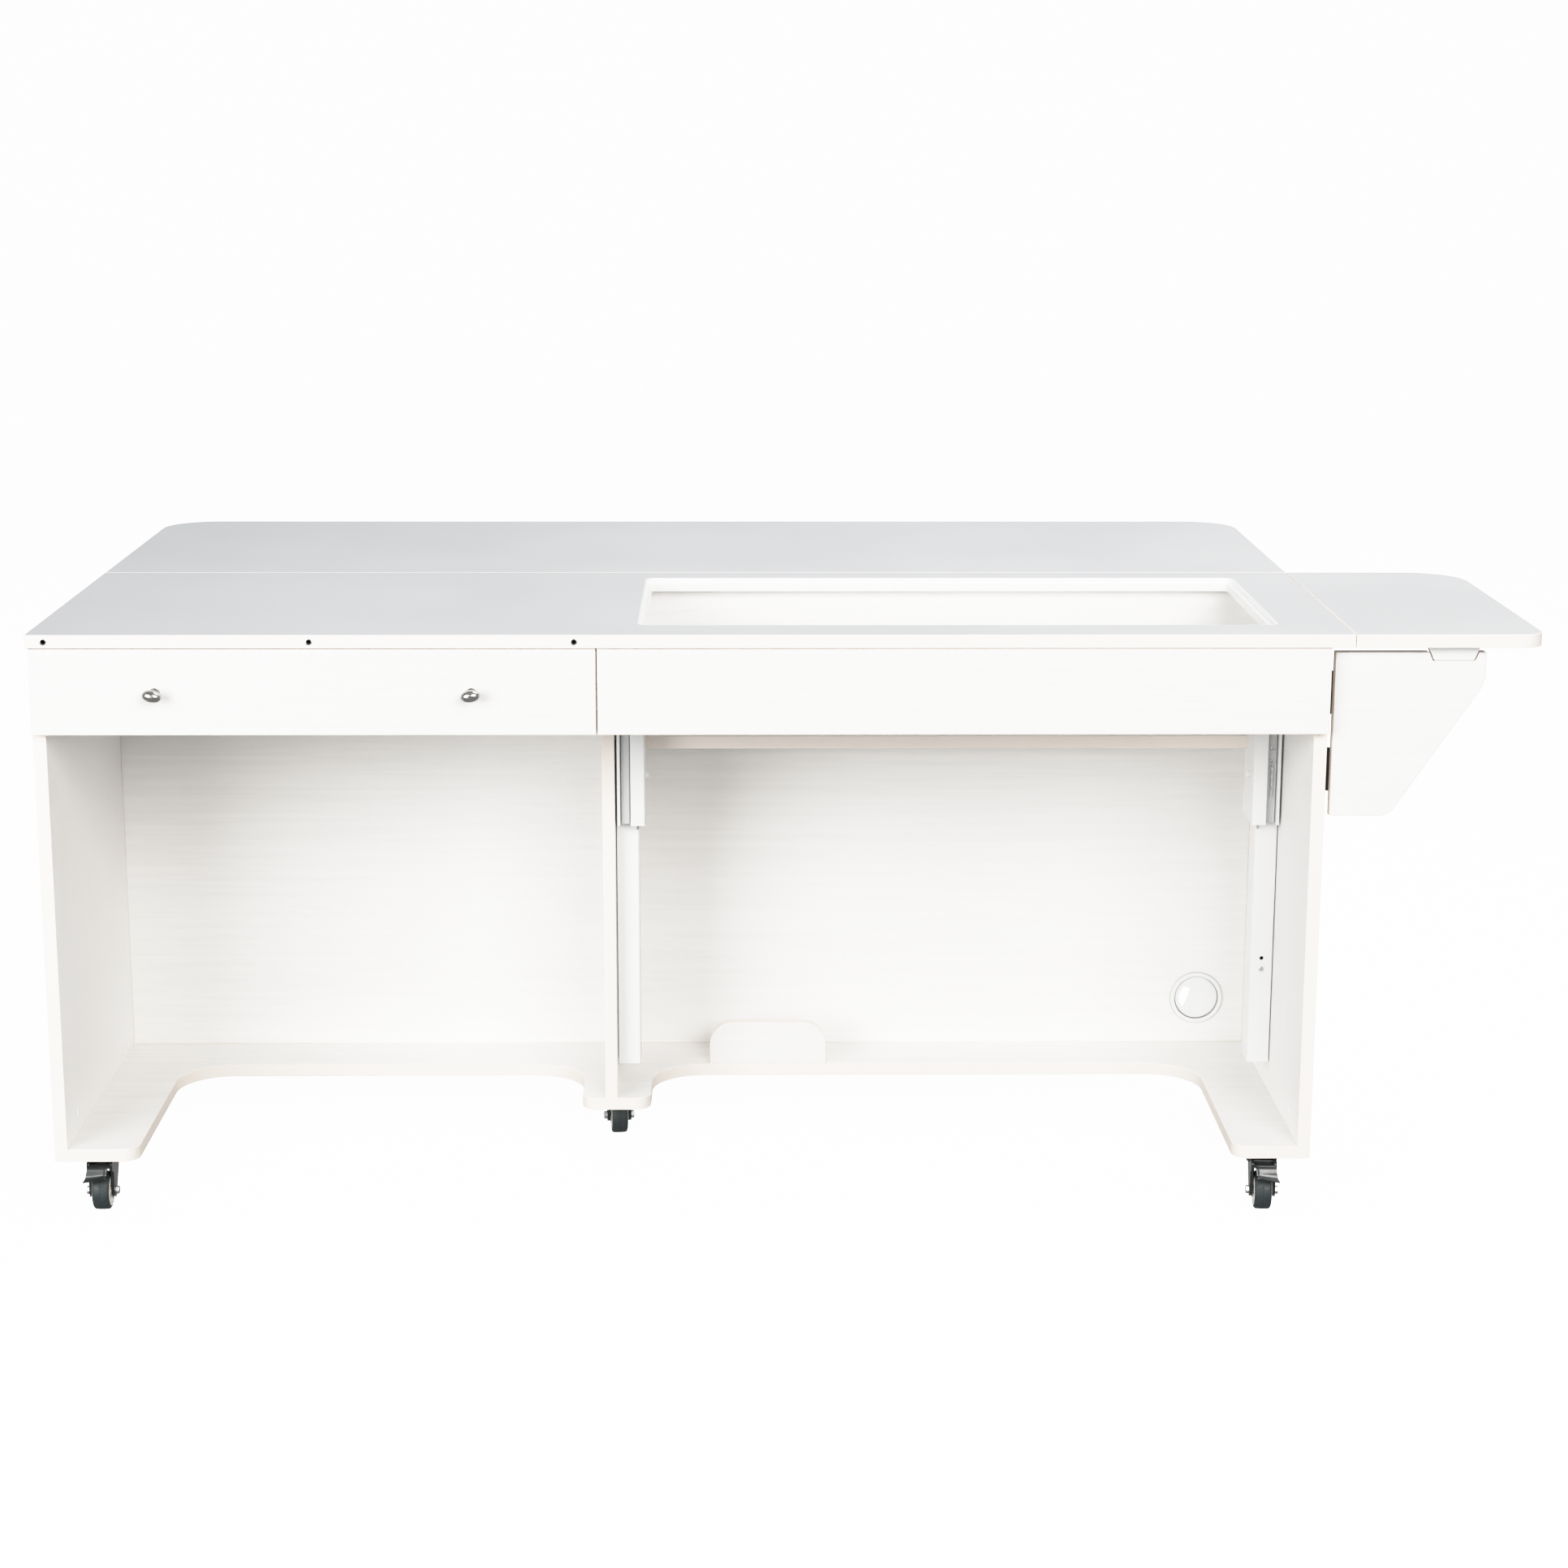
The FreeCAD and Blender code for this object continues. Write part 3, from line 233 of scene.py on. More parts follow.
def soft_box(name, place, target, size, power, colour=(1, 1, 1)):
    """A rectangular area light at place, facing target, that the camera doesn't see."""
    light = bpy.data.lights.new(name, "AREA")
    light.shape, light.size, light.size_y = "RECTANGLE", *size
    light.energy, light.color = power, colour
    holder = bpy.data.objects.new(name, light)
    holder.location = place
    holder.rotation_euler = (Vector(target) - Vector(place)).to_track_quat("-Z", "Y").to_euler()
    holder.visible_camera = False
    bpy.context.scene.collection.objects.link(holder)


soft_box("key", place=(1.6, -4.6, 2.6), target=(0, 0, 0.4), size=(2.6, 2.2), power=196,
         colour=(1.0, 0.99, 0.975))
soft_box("fill", place=(-3.0, -4.0, 1.7), target=(0, 0, 0.4), size=(2.6, 2.6), power=196,
         colour=(0.985, 0.995, 1.0))
soft_box("overhead", place=(1.1, 0.4, 3.4), target=(0.3, 0.2, 0.5), size=(3.0, 2.4), power=84)

SURROUND_WHITE, SURROUND_LIGHT = (1.0, 0.995, 0.985, 1), 0.34
world = bpy.data.worlds.new("studio_light")
world.use_nodes = True
surround = world.node_tree.nodes["Background"].inputs
surround["Color"].default_value, surround["Strength"].default_value = SURROUND_WHITE, SURROUND_LIGHT
bpy.context.scene.world = world

# --- Worktop and leaves ------------------------------------------------------------------------
# Three 17 mm particle boards faced with cool grey laminate and edged with cream band 1 mm thick.
# The main board has the machine cut-out, lined with a white stepped moulding.

BODY_OF = {node: body for body, nodes in frame["record"]["behaviour"]["bodies"].items()
           for node in nodes}
BAND, ARRIS, FACE_ARRIS = 0.001, 0.0009, 0.0003
CORNER_ROUND, LEAF_FRONT_ROUND = 0.075, 0.028
CUTOUT_FROM_LEFT, CUTOUT_FROM_FRONT, CUTOUT_SIZE = 0.755, 0.072, (0.812, 0.380)
STEP, LINING, LINING_ARRIS, CUTOUT_ROUND = 0.006, 0.0025, 0.001, 0.007


def mottled(name, scale, detail, colours, rough=None, stretch=(1, 1, 1), **constants):
    """A finish whose colour drifts between two, as noise in lumps of 1 / scale does. rough holds
    the two levels of that noise between which the roughness steps, and its two values."""
    finish = Finish(name, **constants)
    finish.cloud = finish.noise(finish.place(stretch), scale, detail)
    finish.feed(base_color=finish.blend(finish.cloud, *colours))
    if rough:
        finish.feed(roughness=finish.between(finish.cloud, *rough))
    return finish


laminate = mottled("worktop_laminate", 3.0, 4, ((0.625, 0.634, 0.650), (0.640, 0.648, 0.662)),
                   (0.3, 0.7, 0.32, 0.42), roughness=0.36, coat_weight=0.08, coat_roughness=0.25)
laminate.relief(laminate.noise(laminate.place(), 900, 2), 0.00004)

edge_band = mottled("cream_edge_band", 9, 3, ((0.95, 0.865, 0.79), (0.965, 0.885, 0.815)),
                    stretch=(1, 1, 6), roughness=0.42)
edge_band.relief(edge_band.noise(edge_band.place(), 700, 2), 0.00003)

moulded_white = mottled("white_moulding", 14, 3, ((0.88, 0.88, 0.87), (0.92, 0.92, 0.91)),
                        roughness=0.38, coat_weight=0.05)
moulded_white.relief(moulded_white.noise(moulded_white.place(), 1500, 2), 0.00003)


def outline(corners, steps=8):
    """A closed outline through (across, up, radius) corners, anticlockwise. At each corner it
    follows the arc of that radius which touches both sides."""
    corners = np.array(corners, float)
    points, radii = corners[:, :2], corners[:, 2]
    before, after = np.roll(points, 1, 0) - points, np.roll(points, -1, 0) - points
    before /= np.linalg.norm(before, axis=1, keepdims=True)
    after /= np.linalg.norm(after, axis=1, keepdims=True)
    parts = []
    for point, radius, back, on in zip(points, radii, before, after):
        if radius == 0:
            parts.append(point[None])
            continue
        half = math.acos(np.clip(back @ on, -1, 1)) / 2
        centre = point + (back + on) / np.linalg.norm(back + on) * radius / math.sin(half)
        start = point + back * radius / math.tan(half) - centre
        stop = point + on * radius / math.tan(half) - centre
        turn, share = math.pi - 2 * half, np.linspace(0, 1, steps + 1)[:, None]
        parts.append(centre + (np.sin((1 - share) * turn) * start
                               + np.sin(share * turn) * stop) / math.sin(turn))
    return np.concatenate(parts)


def rectangle(low, high, radius=0.0):
    """Outline of a rectangle between two corners, all four rounded alike."""
    return outline([(low[0], low[1], radius), (high[0], low[1], radius),
                    (high[0], high[1], radius), (low[0], high[1], radius)])


def carried(loop, section):
    """A section of (inset, height) points carried round a closed outline: sections x points x 3.
    Each side moves inwards, to its left, by the inset, so corners keep their mitres."""
    side = np.roll(loop, -1, 0) - loop
    side /= np.linalg.norm(side, axis=1, keepdims=True)
    inwards = np.stack([-side[:, 1], side[:, 0]], 1)
    before = np.roll(inwards, 1, 0)
    mitre = (inwards + before) / (1 + (inwards * before).sum(1, keepdims=True))
    section = np.asarray(section, float)
    flat = loop[None] + section[:, 0, None, None] * mitre[None]
    height = np.broadcast_to(section[:, 1, None, None], (*flat.shape[:2], 1))
    return np.concatenate([flat, height], axis=2)


LYING = ((1, 0, 0), (0, 1, 0), (0, 0, 1))
FACING = ((1, 0, 0), (0, 0, 1), (0, -1, 0))
SIDEWAYS = ((0, 1, 0), (0, 0, 1), (1, 0, 0))


def laid(points, origin, way):
    """Points of a board's own plane (across, up, out) put in the table, from origin."""
    return np.asarray(origin) + np.asarray(points) @ np.array(way, float)


def quarter(centre, radius, start, steps=3):
    """Points on a quarter circle, anticlockwise from the angle start in degrees."""
    angle = np.radians(start + np.linspace(0, 90, steps + 1))
    return np.asarray(centre) + radius * np.stack([np.cos(angle), np.sin(angle)], 1)


def plate(name, loops, thick, origin, way, finish, arris=ARRIS):
    """A flat board through outlines, the first anticlockwise and holes clockwise. The section
    carried round each is its edge, with a rounded arris at both faces."""
    section = np.concatenate([quarter((arris, arris), arris, 180)[::-1],
                              quarter((arris, thick - arris), arris, 90)[::-1]])
    rings, faces, lowest, highest, start = [], [], [], [], 0
    for loop in loops:
        ring = carried(loop, section)
        faces.append(start + grid_faces(len(section), len(loop), closed_columns=True))
        lowest.append(start + np.arange(len(loop)))
        highest.append(start + (len(section) - 1) * len(loop) + np.arange(len(loop)))
        rings.append(ring.reshape(-1, 3))
        start += ring.shape[0] * ring.shape[1]
    points = np.concatenate(rings)
    for ends, turned in ((lowest, -1), (highest, 1)):
        lid = tessellate_polygon([[Vector((*points[i, :2], 0)) for i in loop] for loop in ends])
        numbers = np.concatenate(ends)
        faces.append(numbers[np.array(lid)][:, ::turned])
    piece = solid(name, laid(points, origin, way), faces, finish)
    return smoothed(piece)


def smoothed(piece):
    """Keeps large faces flat beside their rounded edges."""
    piece.modifiers.new("flat_faces", "WEIGHTED_NORMAL").keep_sharp = True
    return piece


def strip(name, loop, section, origin, way, finish):
    """A closed section carried right round an outline, such as an edge band or a lining."""
    ring = carried(loop, section)
    faces = grid_faces(*ring.shape[:2], closed_rows=True, closed_columns=True)
    return smoothed(solid(name, laid(ring, origin, way), [faces], finish))


def band_section(thick, arris=ARRIS):
    """Section of an edge band: rounded arrises outside, square against the board."""
    return np.concatenate([[(BAND, 0)], quarter((arris, arris), arris, 180)[::-1],
                           quarter((arris, thick - arris), arris, 90)[::-1], [(BAND, thick)]])


def beside(piece, node):
    """The piece rides with the body of a CAD node."""
    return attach(piece, BODY_OF[node])


def fitted(piece, node):
    """The piece takes the place of a CAD node, which is hidden, and rides with the same body."""
    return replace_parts(beside(piece, node), node)


def edged_board(node, loop, holes, thick, origin, way, finish, tag=""):
    """A faced board and the edge band glued round it, in place of a CAD node."""
    inner = carried(loop, [(BAND, 0)])[0, :, :2]
    core = plate(f"{node}{tag}_faces", [inner, *holes], thick, origin, way, finish, FACE_ARRIS)
    band = strip(f"{node}{tag}_band", loop, band_section(thick), origin, way, edge_band)
    return fitted(core, node), beside(band, node)


def drilled(piece, centres, axis, radius, depth):
    """Round holes of that depth, cut from each centre along axis, as a Boolean that is applied."""
    drill = bmesh.new()
    for centre in centres:
        middle = Vector(centre) + Vector(axis) * (depth / 2 - 0.001)
        turn = Vector(axis).to_track_quat("Z", "Y").to_matrix().to_4x4()
        bmesh.ops.create_cone(drill, cap_ends=True, segments=32, radius1=radius, radius2=radius,
                              depth=depth + 0.002, matrix=Matrix.Translation(middle) @ turn)
    mesh = bpy.data.meshes.new("drill")
    drill.to_mesh(mesh)
    tool = bpy.data.objects.new("drill", mesh)
    bpy.context.scene.collection.objects.link(tool)
    bore = piece.modifiers.new("bores", "BOOLEAN")
    bore.object, bore.operation, bore.solver = tool, "DIFFERENCE", "EXACT"
    others = [m for m in piece.modifiers if m != bore]
    for other in others:
        piece.modifiers.remove(other)
    bpy.context.view_layer.update()
    depsgraph = bpy.context.evaluated_depsgraph_get()
    done = bpy.data.meshes.new_from_object(piece.evaluated_get(depsgraph))
    piece.modifiers.clear()
    done.materials.clear()
    done.materials.append(piece.data.materials[0])
    piece.data = done
    bpy.data.objects.remove(tool)
    return smoothed(piece)


def corners_of(node):
    """The low and the high corner of a CAD node's box, as arrays."""
    return tuple(np.array(corner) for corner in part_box(node))


top_low, top_high = corners_of("worktop")
top_thick = top_high[2] - top_low[2]
main_loop = rectangle(top_low, top_high)
cut_low = top_low[:2] + (CUTOUT_FROM_LEFT, CUTOUT_FROM_FRONT)
cut_high = cut_low + CUTOUT_SIZE
cutout = rectangle(cut_low, cut_high, CUTOUT_ROUND + STEP)[::-1]
worktop, worktop_band = edged_board("worktop", main_loop, [cutout], top_thick, (0, 0, top_low[2]),
                                    LYING, laminate)
lining_section = np.concatenate([
    [(0, 0)], [(0, top_thick)],
    quarter((-LINING + LINING_ARRIS, top_thick - LINING_ARRIS), LINING_ARRIS, 90),
    [(-LINING, top_thick - STEP)],
    quarter((-STEP - LINING + LINING_ARRIS, top_thick - STEP - LINING_ARRIS), LINING_ARRIS, 90),
    [(-STEP - LINING, 0)]])
lining = strip("cutout_lining", cutout, lining_section[::-1], (0, 0, top_low[2]), LYING,
               moulded_white)
beside(lining, "worktop")

INSERT_RADIUS, INSERT_DEPTH = 0.0045, 0.013
mount_of = {mount["name"]: mount for mount in frame["record"]["mounts"]}
half_run = mount_of["front_inserts_outer"]["dims"]["spacing_x_mm"] / 2000
insert_places = [np.array(mount_of["front_insert_middle"]["pos_m"]) + (shift, 0, 0)
                 for shift in (-half_run, 0, half_run)]
drilled(worktop, insert_places, (0, 1, 0), INSERT_RADIUS, INSERT_DEPTH)
drilled(worktop_band, insert_places, (0, 1, 0), INSERT_RADIUS, INSERT_DEPTH)

back_low, back_high = corners_of("back_leaf")
back_loop = outline([(*back_low[:2], 0), (back_high[0], back_low[1], 0),
                     (*back_high[:2], CORNER_ROUND), (back_low[0], back_high[1], CORNER_ROUND)], 14)
edged_board("back_leaf", back_loop, [], top_thick, (0, 0, back_low[2]), LYING, laminate)
leaf_low, leaf_high = corners_of("side_leaf")
leaf_loop = outline([(*leaf_low[:2], 0), (leaf_high[0], leaf_low[1], LEAF_FRONT_ROUND),
                     (*leaf_high[:2], CORNER_ROUND), (leaf_low[0], leaf_high[1], 0)], 14)
edged_board("side_leaf", leaf_loop, [], top_thick, (0, 0, leaf_low[2]), LYING, laminate)

# --- Front inserts -----------------------------------------------------------------------------
# Three zinc-plated threaded sleeves let into the front edge: a thin flange round a dark bore with
# the ridges of its thread.

zinc = mottled("zinc_plate", 160, 3, ((0.56, 0.57, 0.58), (0.72, 0.72, 0.73)),
               (0.35, 0.65, 0.26, 0.42), metallic=1.0, roughness=0.34)


def welded(piece, gap=1e-6):
    """Joins points that meet, drops faces without area and turns all faces outwards."""
    work = bmesh.new()
    work.from_mesh(piece.data)
    bmesh.ops.remove_doubles(work, verts=work.verts, dist=gap)
    bmesh.ops.dissolve_degenerate(work, edges=work.edges, dist=gap)
    bmesh.ops.recalc_face_normals(work, faces=work.faces)
    work.to_mesh(piece.data)
    piece.data.set_sharp_from_angle(angle=SHARP)
    return piece


def turned(name, profile, places, axis, finish, steps=32):
    """Pieces turned on a lathe: a closed profile of (radius, along) points carried round axis at
    each place. A profile that starts and ends on the axis closes on itself."""
    profile = np.asarray(profile, float)
    angle = np.linspace(0, 2 * math.pi, steps, endpoint=False)
    axis = np.array(axis, float) / np.linalg.norm(axis)
    side = np.cross(axis, (0, 0, 1) if abs(axis[2]) < 0.9 else (1, 0, 0))
    side /= np.linalg.norm(side)
    up = np.cross(axis, side)
    round_axis = np.cos(angle)[:, None] * side + np.sin(angle)[:, None] * up
    one = profile[:, 0, None, None] * round_axis[None] + profile[:, 1, None, None] * axis
    points = np.stack([one + np.asarray(place) for place in places])
    faces = grid_faces(len(profile), steps, closed_rows=True, closed_columns=True)
    rings = [faces + i * len(profile) * steps for i in range(len(places))]
    return welded(solid(name, points, rings, finish))


SLEEVE_BORE, SLEEVE_RADIUS = 0.0031, INSERT_RADIUS - 0.0001
FLANGE_THICK, SLEEVE_FLOOR, THREAD_DEEP, RIDGES = 0.001, 0.002, 0.0003, 20
flange = [(SLEEVE_BORE, 0), (SLEEVE_BORE, FLANGE_THICK), (SLEEVE_RADIUS, FLANGE_THICK),
          (SLEEVE_RADIUS, 0.0002), (INSERT_RADIUS - 0.0004, 0)]
fitted(turned("front_insert_flanges", flange, insert_places, (0, 1, 0), zinc), "edge_inserts")
thread = np.linspace(FLANGE_THICK, INSERT_DEPTH - SLEEVE_FLOOR, RIDGES)
bore_wall = np.stack([SLEEVE_BORE - THREAD_DEEP * (np.arange(RIDGES) % 2), thread], 1)
sleeve = np.concatenate([bore_wall, [(0, INSERT_DEPTH - SLEEVE_FLOOR), (0, INSERT_DEPTH)],
                         [(SLEEVE_RADIUS, INSERT_DEPTH), (SLEEVE_RADIUS, FLANGE_THICK)]])
dark_steel = mottled("bronzed_steel", 90, 3, ((0.035, 0.03, 0.026), (0.075, 0.062, 0.05)),
                     (0.3, 0.7, 0.36, 0.5), metallic=0.85, roughness=0.42)
beside(turned("front_insert_sleeves", sleeve, insert_places, (0, 1, 0), dark_steel), "edge_inserts")

# --- Body boards -------------------------------------------------------------------------------
# White laminate embossed with a fine wood grain, on 17 mm board with cream band on the edges.
# The grain runs along the fronts and the back board, and up the end panels.


def wood_grain(name, along, figure=1.0):
    """White board embossed with short pores, 2 to 3 mm apart, and low ridges along one axis."""
    grain = Finish(name, roughness=0.46, coat_weight=0.04)
    pores = tuple(16.0 if axis == along else 400.0 for axis in range(3))
    ridges = tuple(4.0 if axis == along else 120.0 for axis in range(3))
    pore = grain.between(grain.noise(grain.place(pores), 1.0, 2, 0.6), 0.56, 0.70)
    ridge = grain.noise(grain.place(ridges), 1.0, 3, 0.6)
    patch = grain.between(grain.noise(grain.place(), 3.2, 2), 0.42, 0.62)
    tint = (grain.between(ridge, 0.35, 0.65) * 0.45 + pore * patch * 0.55) * figure
    grain.feed(base_color=grain.blend(tint, (0.925, 0.910, 0.890), (0.845, 0.830, 0.806)),
               roughness=grain.between(ridge, 0.3, 0.7, 0.42, 0.54))
    grain.relief(ridge * 0.5 - pore * (0.35 + patch * 0.65), 0.00012 * figure)
    return grain


ALONG_TABLE, INTO_TABLE, UPWARDS = 0, 1, 2
grain_along = wood_grain("white_grain_along", ALONG_TABLE)
grain_up = wood_grain("white_grain_up", UPWARDS, 0.25)
grain_in = wood_grain("white_grain_in", INTO_TABLE, 0.7)


def box_board(node, way, finish, holes=(), ends=None, tag=""):
    """A rectangular board from its CAD node's box, or between ends. way is LYING, FACING or
    SIDEWAYS."""
    low, high = ends or corners_of(node)
    if way is LYING:
        flat, thick, origin = [0, 1], high[2] - low[2], (0, 0, low[2])
    elif way is FACING:
        flat, thick, origin = [0, 2], high[1] - low[1], (0, high[1], 0)
    else:
        flat, thick, origin = [1, 2], high[0] - low[0], (low[0], 0, 0)
    loop = rectangle(low[flat], high[flat])
    return edged_board(node, loop, holes, thick, origin, way, finish, tag)


box_board("left_side_panel", SIDEWAYS, grain_up)
box_board("right_side_panel", SIDEWAYS, grain_up)
box_board("front_apron", FACING, grain_along)
box_board("back_leg_board", SIDEWAYS, grain_up)

GROMMET_HOLE = 0.035
ring_low, ring_high = corners_of("grommet_ring")
grommet_centre = (ring_low + ring_high) / 2
around = np.linspace(0, -2 * math.pi, 48, endpoint=False)
grommet_hole = (grommet_centre[[0, 2]]
                + GROMMET_HOLE * np.stack([np.cos(around), np.sin(around)], 1))
box_board("modesty_panel", FACING, grain_along, [grommet_hole])

div_low, div_high = corners_of("center_divider")
DIVIDER_FRONT, ARM_HEIGHT = 0.201, 0.109
upright_front, arm_bottom = div_low[1] + DIVIDER_FRONT, div_high[2] - ARM_HEIGHT
divider_loop = outline([(upright_front, div_low[2], 0), (div_high[1], div_low[2], 0),
                        (*div_high[1:], 0), (div_low[1], div_high[2], 0),
                        (div_low[1], arm_bottom, 0), (upright_front, arm_bottom, 0)])
edged_board("center_divider", divider_loop, [], div_high[0] - div_low[0], (div_low[0], 0, 0),
            SIDEWAYS, grain_up)

base_low, base_high = corners_of("base_board")
LEFT_LOBE, RIGHT_LOBE, STRIP_FRONT = 0.1072, 0.0999, 0.350
MID_LOBE, MID_LOBE_FRONT, LOBE_ROUND, STRIP_ROUND = (0.6696, 0.7629), 0.201, 0.022, 0.072
strip_y, lobe_y = base_low[1] + STRIP_FRONT, base_low[1] + MID_LOBE_FRONT
left_x, right_x = base_low[0] + LEFT_LOBE, base_high[0] - RIGHT_LOBE
middle_left, middle_right = base_low[0] + MID_LOBE[0], base_low[0] + MID_LOBE[1]
base_loop = outline([
    (*base_low[:2], 0), (left_x, base_low[1], LOBE_ROUND),
    (left_x, strip_y, STRIP_ROUND), (middle_left, strip_y, STRIP_ROUND),
    (middle_left, lobe_y, LOBE_ROUND), (middle_right, lobe_y, LOBE_ROUND),
    (middle_right, strip_y, STRIP_ROUND), (right_x, strip_y, STRIP_ROUND),
    (right_x, base_low[1], LOBE_ROUND), (base_high[0], base_low[1], 0),
    (*base_high[:2], 0), (base_low[0], base_high[1], 0)], 12)
edged_board("base_board", base_loop, [], base_high[2] - base_low[2], (0, 0, base_low[2]), LYING,
            grain_along)

stop_low, stop_high = corners_of("pedal_stop_board")
STOP_ROUND = 0.033
stop_loop = outline([(stop_low[0], stop_low[2], 0), (stop_high[0], stop_low[2], 0),
                     (stop_high[0], stop_high[2], STOP_ROUND),
                     (stop_low[0], stop_high[2], STOP_ROUND)], 12)
edged_board("pedal_stop_board", stop_loop, [], stop_high[1] - stop_low[1], (0, stop_high[1], 0),
            FACING, grain_along)

# --- Drawer ------------------------------------------------------------------------------------
# A grained front on a box of white board, hung on zinc-plated channels. Its two oval knobs are
# brushed nickel, each turned a little on its screw.

DRAWER_WALL = np.array((0.012, 0, 0))
KNOB_FROM_LEFT, KNOB_UP, KNOB_TILTS = (0.1549, 0.5478), 0.053, (10, -8)

box_board("drawer_front", FACING, grain_along)
box_board("drawer_back", FACING, grain_along)
box_board("drawer_bottom", LYING, grain_in)
side_low, side_high = corners_of("drawer_sides")
inner_low, inner_high = side_low + DRAWER_WALL, side_high - DRAWER_WALL
box_board("drawer_sides", SIDEWAYS, grain_in,
          ends=(side_low, np.array((inner_low[0], *side_high[1:]))), tag="_left")
box_board("drawer_sides", SIDEWAYS, grain_in,
          ends=(np.array((inner_high[0], *side_low[1:])), side_high), tag="_right")


def softened(node, finish, width=0.0004):
    """A copy of a CAD node's mesh, its triangles merged into faces and its edges rounded."""
    work = bmesh.new()
    work.from_mesh(frame["nodes"][node].data)
    bmesh.ops.remove_doubles(work, verts=work.verts, dist=1e-6)
    bmesh.ops.dissolve_limit(work, angle_limit=math.radians(1), verts=work.verts, edges=work.edges)
    mesh = bpy.data.meshes.new(node + "_soft")
    work.to_mesh(mesh)
    mesh.materials.append(finish.material)
    mesh.shade_smooth()
    mesh.set_sharp_from_angle(angle=SHARP)
    piece = bpy.data.objects.new(node + "_soft", mesh)
    bpy.context.scene.collection.objects.link(piece)
    edge = piece.modifiers.new("soft_edges", "BEVEL")
    edge.width, edge.segments, edge.limit_method = width, 2, "ANGLE"
    edge.angle_limit = SHARP
    return fitted(smoothed(piece), node)


softened("drawer_runners_fixed", zinc)
softened("drawer_runners_moving", zinc)

nickel = mottled("brushed_nickel", 1.0, 2, ((0.36, 0.355, 0.345), (0.58, 0.575, 0.56)),
                 (0.3, 0.7, 0.16, 0.3), (90, 900, 900), metallic=1.0)
nickel.relief(nickel.cloud, 0.00002)


def knob(centre, tilt):
    """Rings of an oval knob, from the washer at its foot to the crown of its egg-shaped head:
    (distance out, half width, half height), each ring an ellipse turned by tilt."""
    foot = [(0, 0, 0), (0, 7, 7), (1.1, 7, 7), (1.5, 6.6, 6.6), (1.6, 5.2, 5.2), (3, 4.5, 4.5),
            (9, 4.4, 4.4), (10.6, 4.7, 4.5), (11.4, 5.8, 4.7)]
    swing = np.radians(np.linspace(-50, 90, 22))
    head = np.stack([18.5 + 8 * np.sin(swing), 12.5 * np.cos(swing), 8 * np.cos(swing)], 1)
    out, wide, high = (np.concatenate([foot, head]) / 1000).T[:, :, None]
    angle, tilt = np.linspace(0, 2 * math.pi, 48, endpoint=False), math.radians(tilt)
    across, up = wide * np.cos(angle), high * np.sin(angle)
    return np.asarray(centre) + np.stack([across * math.cos(tilt) + up * math.sin(tilt),
                                          np.broadcast_to(-out, across.shape),
                                          up * math.cos(tilt) - across * math.sin(tilt)], -1)


face_low = corners_of("drawer_front")[0]
knob_rings = np.stack([knob((face_low[0] + x, face_low[1], face_low[2] + KNOB_UP), tilt)
                       for x, tilt in zip(KNOB_FROM_LEFT, KNOB_TILTS)])
one_knob = grid_faces(*knob_rings.shape[1:3], closed_columns=True)
fitted(welded(solid("drawer_knobs_oval", knob_rings,
                    [one_knob, one_knob + knob_rings[0, ..., 0].size], nickel)), "drawer_knobs")

# --- Grommet -----------------------------------------------------------------------------------
# A flanged white ring in the modesty panel and the cap that turns in it. The cap sits a little
# deeper than the flange and has a leaf-shaped slot for a cord.

FLANGE, FLANGE_RISE, MOUTH, SLEEVE, SHELF = 0.0377, 0.0025, 0.031, 0.0348, 0.027
FLANGE_ROUND, MOUTH_ROUND, SHELF_DEEP = 0.0014, 0.0006, 0.004
CAP_RADIUS, CAP_THICK, CAP_DEEP, CAP_ARRIS = 0.0306, 0.003, 0.0037, 0.0006

ring_white = Finish("white_moulding_rimmed", roughness=0.38, coat_weight=0.05)
offset = ring_white.add("ShaderNodeMapping", {}, {
    "Vector": ring_white.place(), "Location": (-grommet_centre[0], 0, -grommet_centre[2]),
    "Scale": (1, 0, 1)})
from_middle = ring_white.add("ShaderNodeVectorMath", {"operation": "LENGTH"}, {0: offset}, "Value")
# Painted shade: dark lines are painted round the flange's outer rim, and round the cap's rim and
# the mouth, where shade falls between the parts. Noise breaks them up.
painted_rim_shade = (ring_white.between(from_middle, FLANGE - FLANGE_ROUND, FLANGE - 0.0004)
         + ring_white.between(from_middle, CAP_RADIUS - 0.0009, CAP_RADIUS - 0.0001)
         * ring_white.between(from_middle, MOUTH + 0.0002, MOUTH + 0.0009, 1, 0))
speck = ring_white.noise(ring_white.place(), 14, 3)
ring_white.feed(base_color=ring_white.blend(painted_rim_shade * (speck * 0.4 + 0.5), (0.86, 0.86, 0.85),
                                            (0.30, 0.29, 0.28)),
                roughness=ring_white.between(speck, 0.3, 0.7, 0.34, 0.44))

modesty_low, modesty_high = corners_of("modesty_panel")
board_thick = modesty_high[1] - modesty_low[1]
ring_middle = np.array((grommet_centre[0], modesty_low[1], grommet_centre[2]))
ring_profile = np.concatenate([
    [(SHELF, -board_thick), (SLEEVE, -board_thick), (SLEEVE, 0), (FLANGE, 0)],
    quarter((FLANGE - FLANGE_ROUND, FLANGE_RISE - FLANGE_ROUND), FLANGE_ROUND, 0),
    quarter((MOUTH + MOUTH_ROUND, FLANGE_RISE - MOUTH_ROUND), MOUTH_ROUND, 90),
    [(MOUTH, -SHELF_DEEP), (SHELF, -SHELF_DEEP)]])
fitted(turned("grommet_ring_flanged", ring_profile, [ring_middle], (0, -1, 0), ring_white, 64),
       "grommet_ring")
around = np.linspace(0, 2 * math.pi, 64, endpoint=False)
cap_rim = CAP_RADIUS * np.stack([np.cos(around), np.sin(around)], 1)
leaf_slot = outline([(-0.0078, 0.0118, 0.004), (-0.0172, 0.0168, 0.003), (-0.0236, 0.0062, 0.012),
                     (-0.0238, -0.0062, 0.012), (-0.0186, -0.0160, 0.0011)])
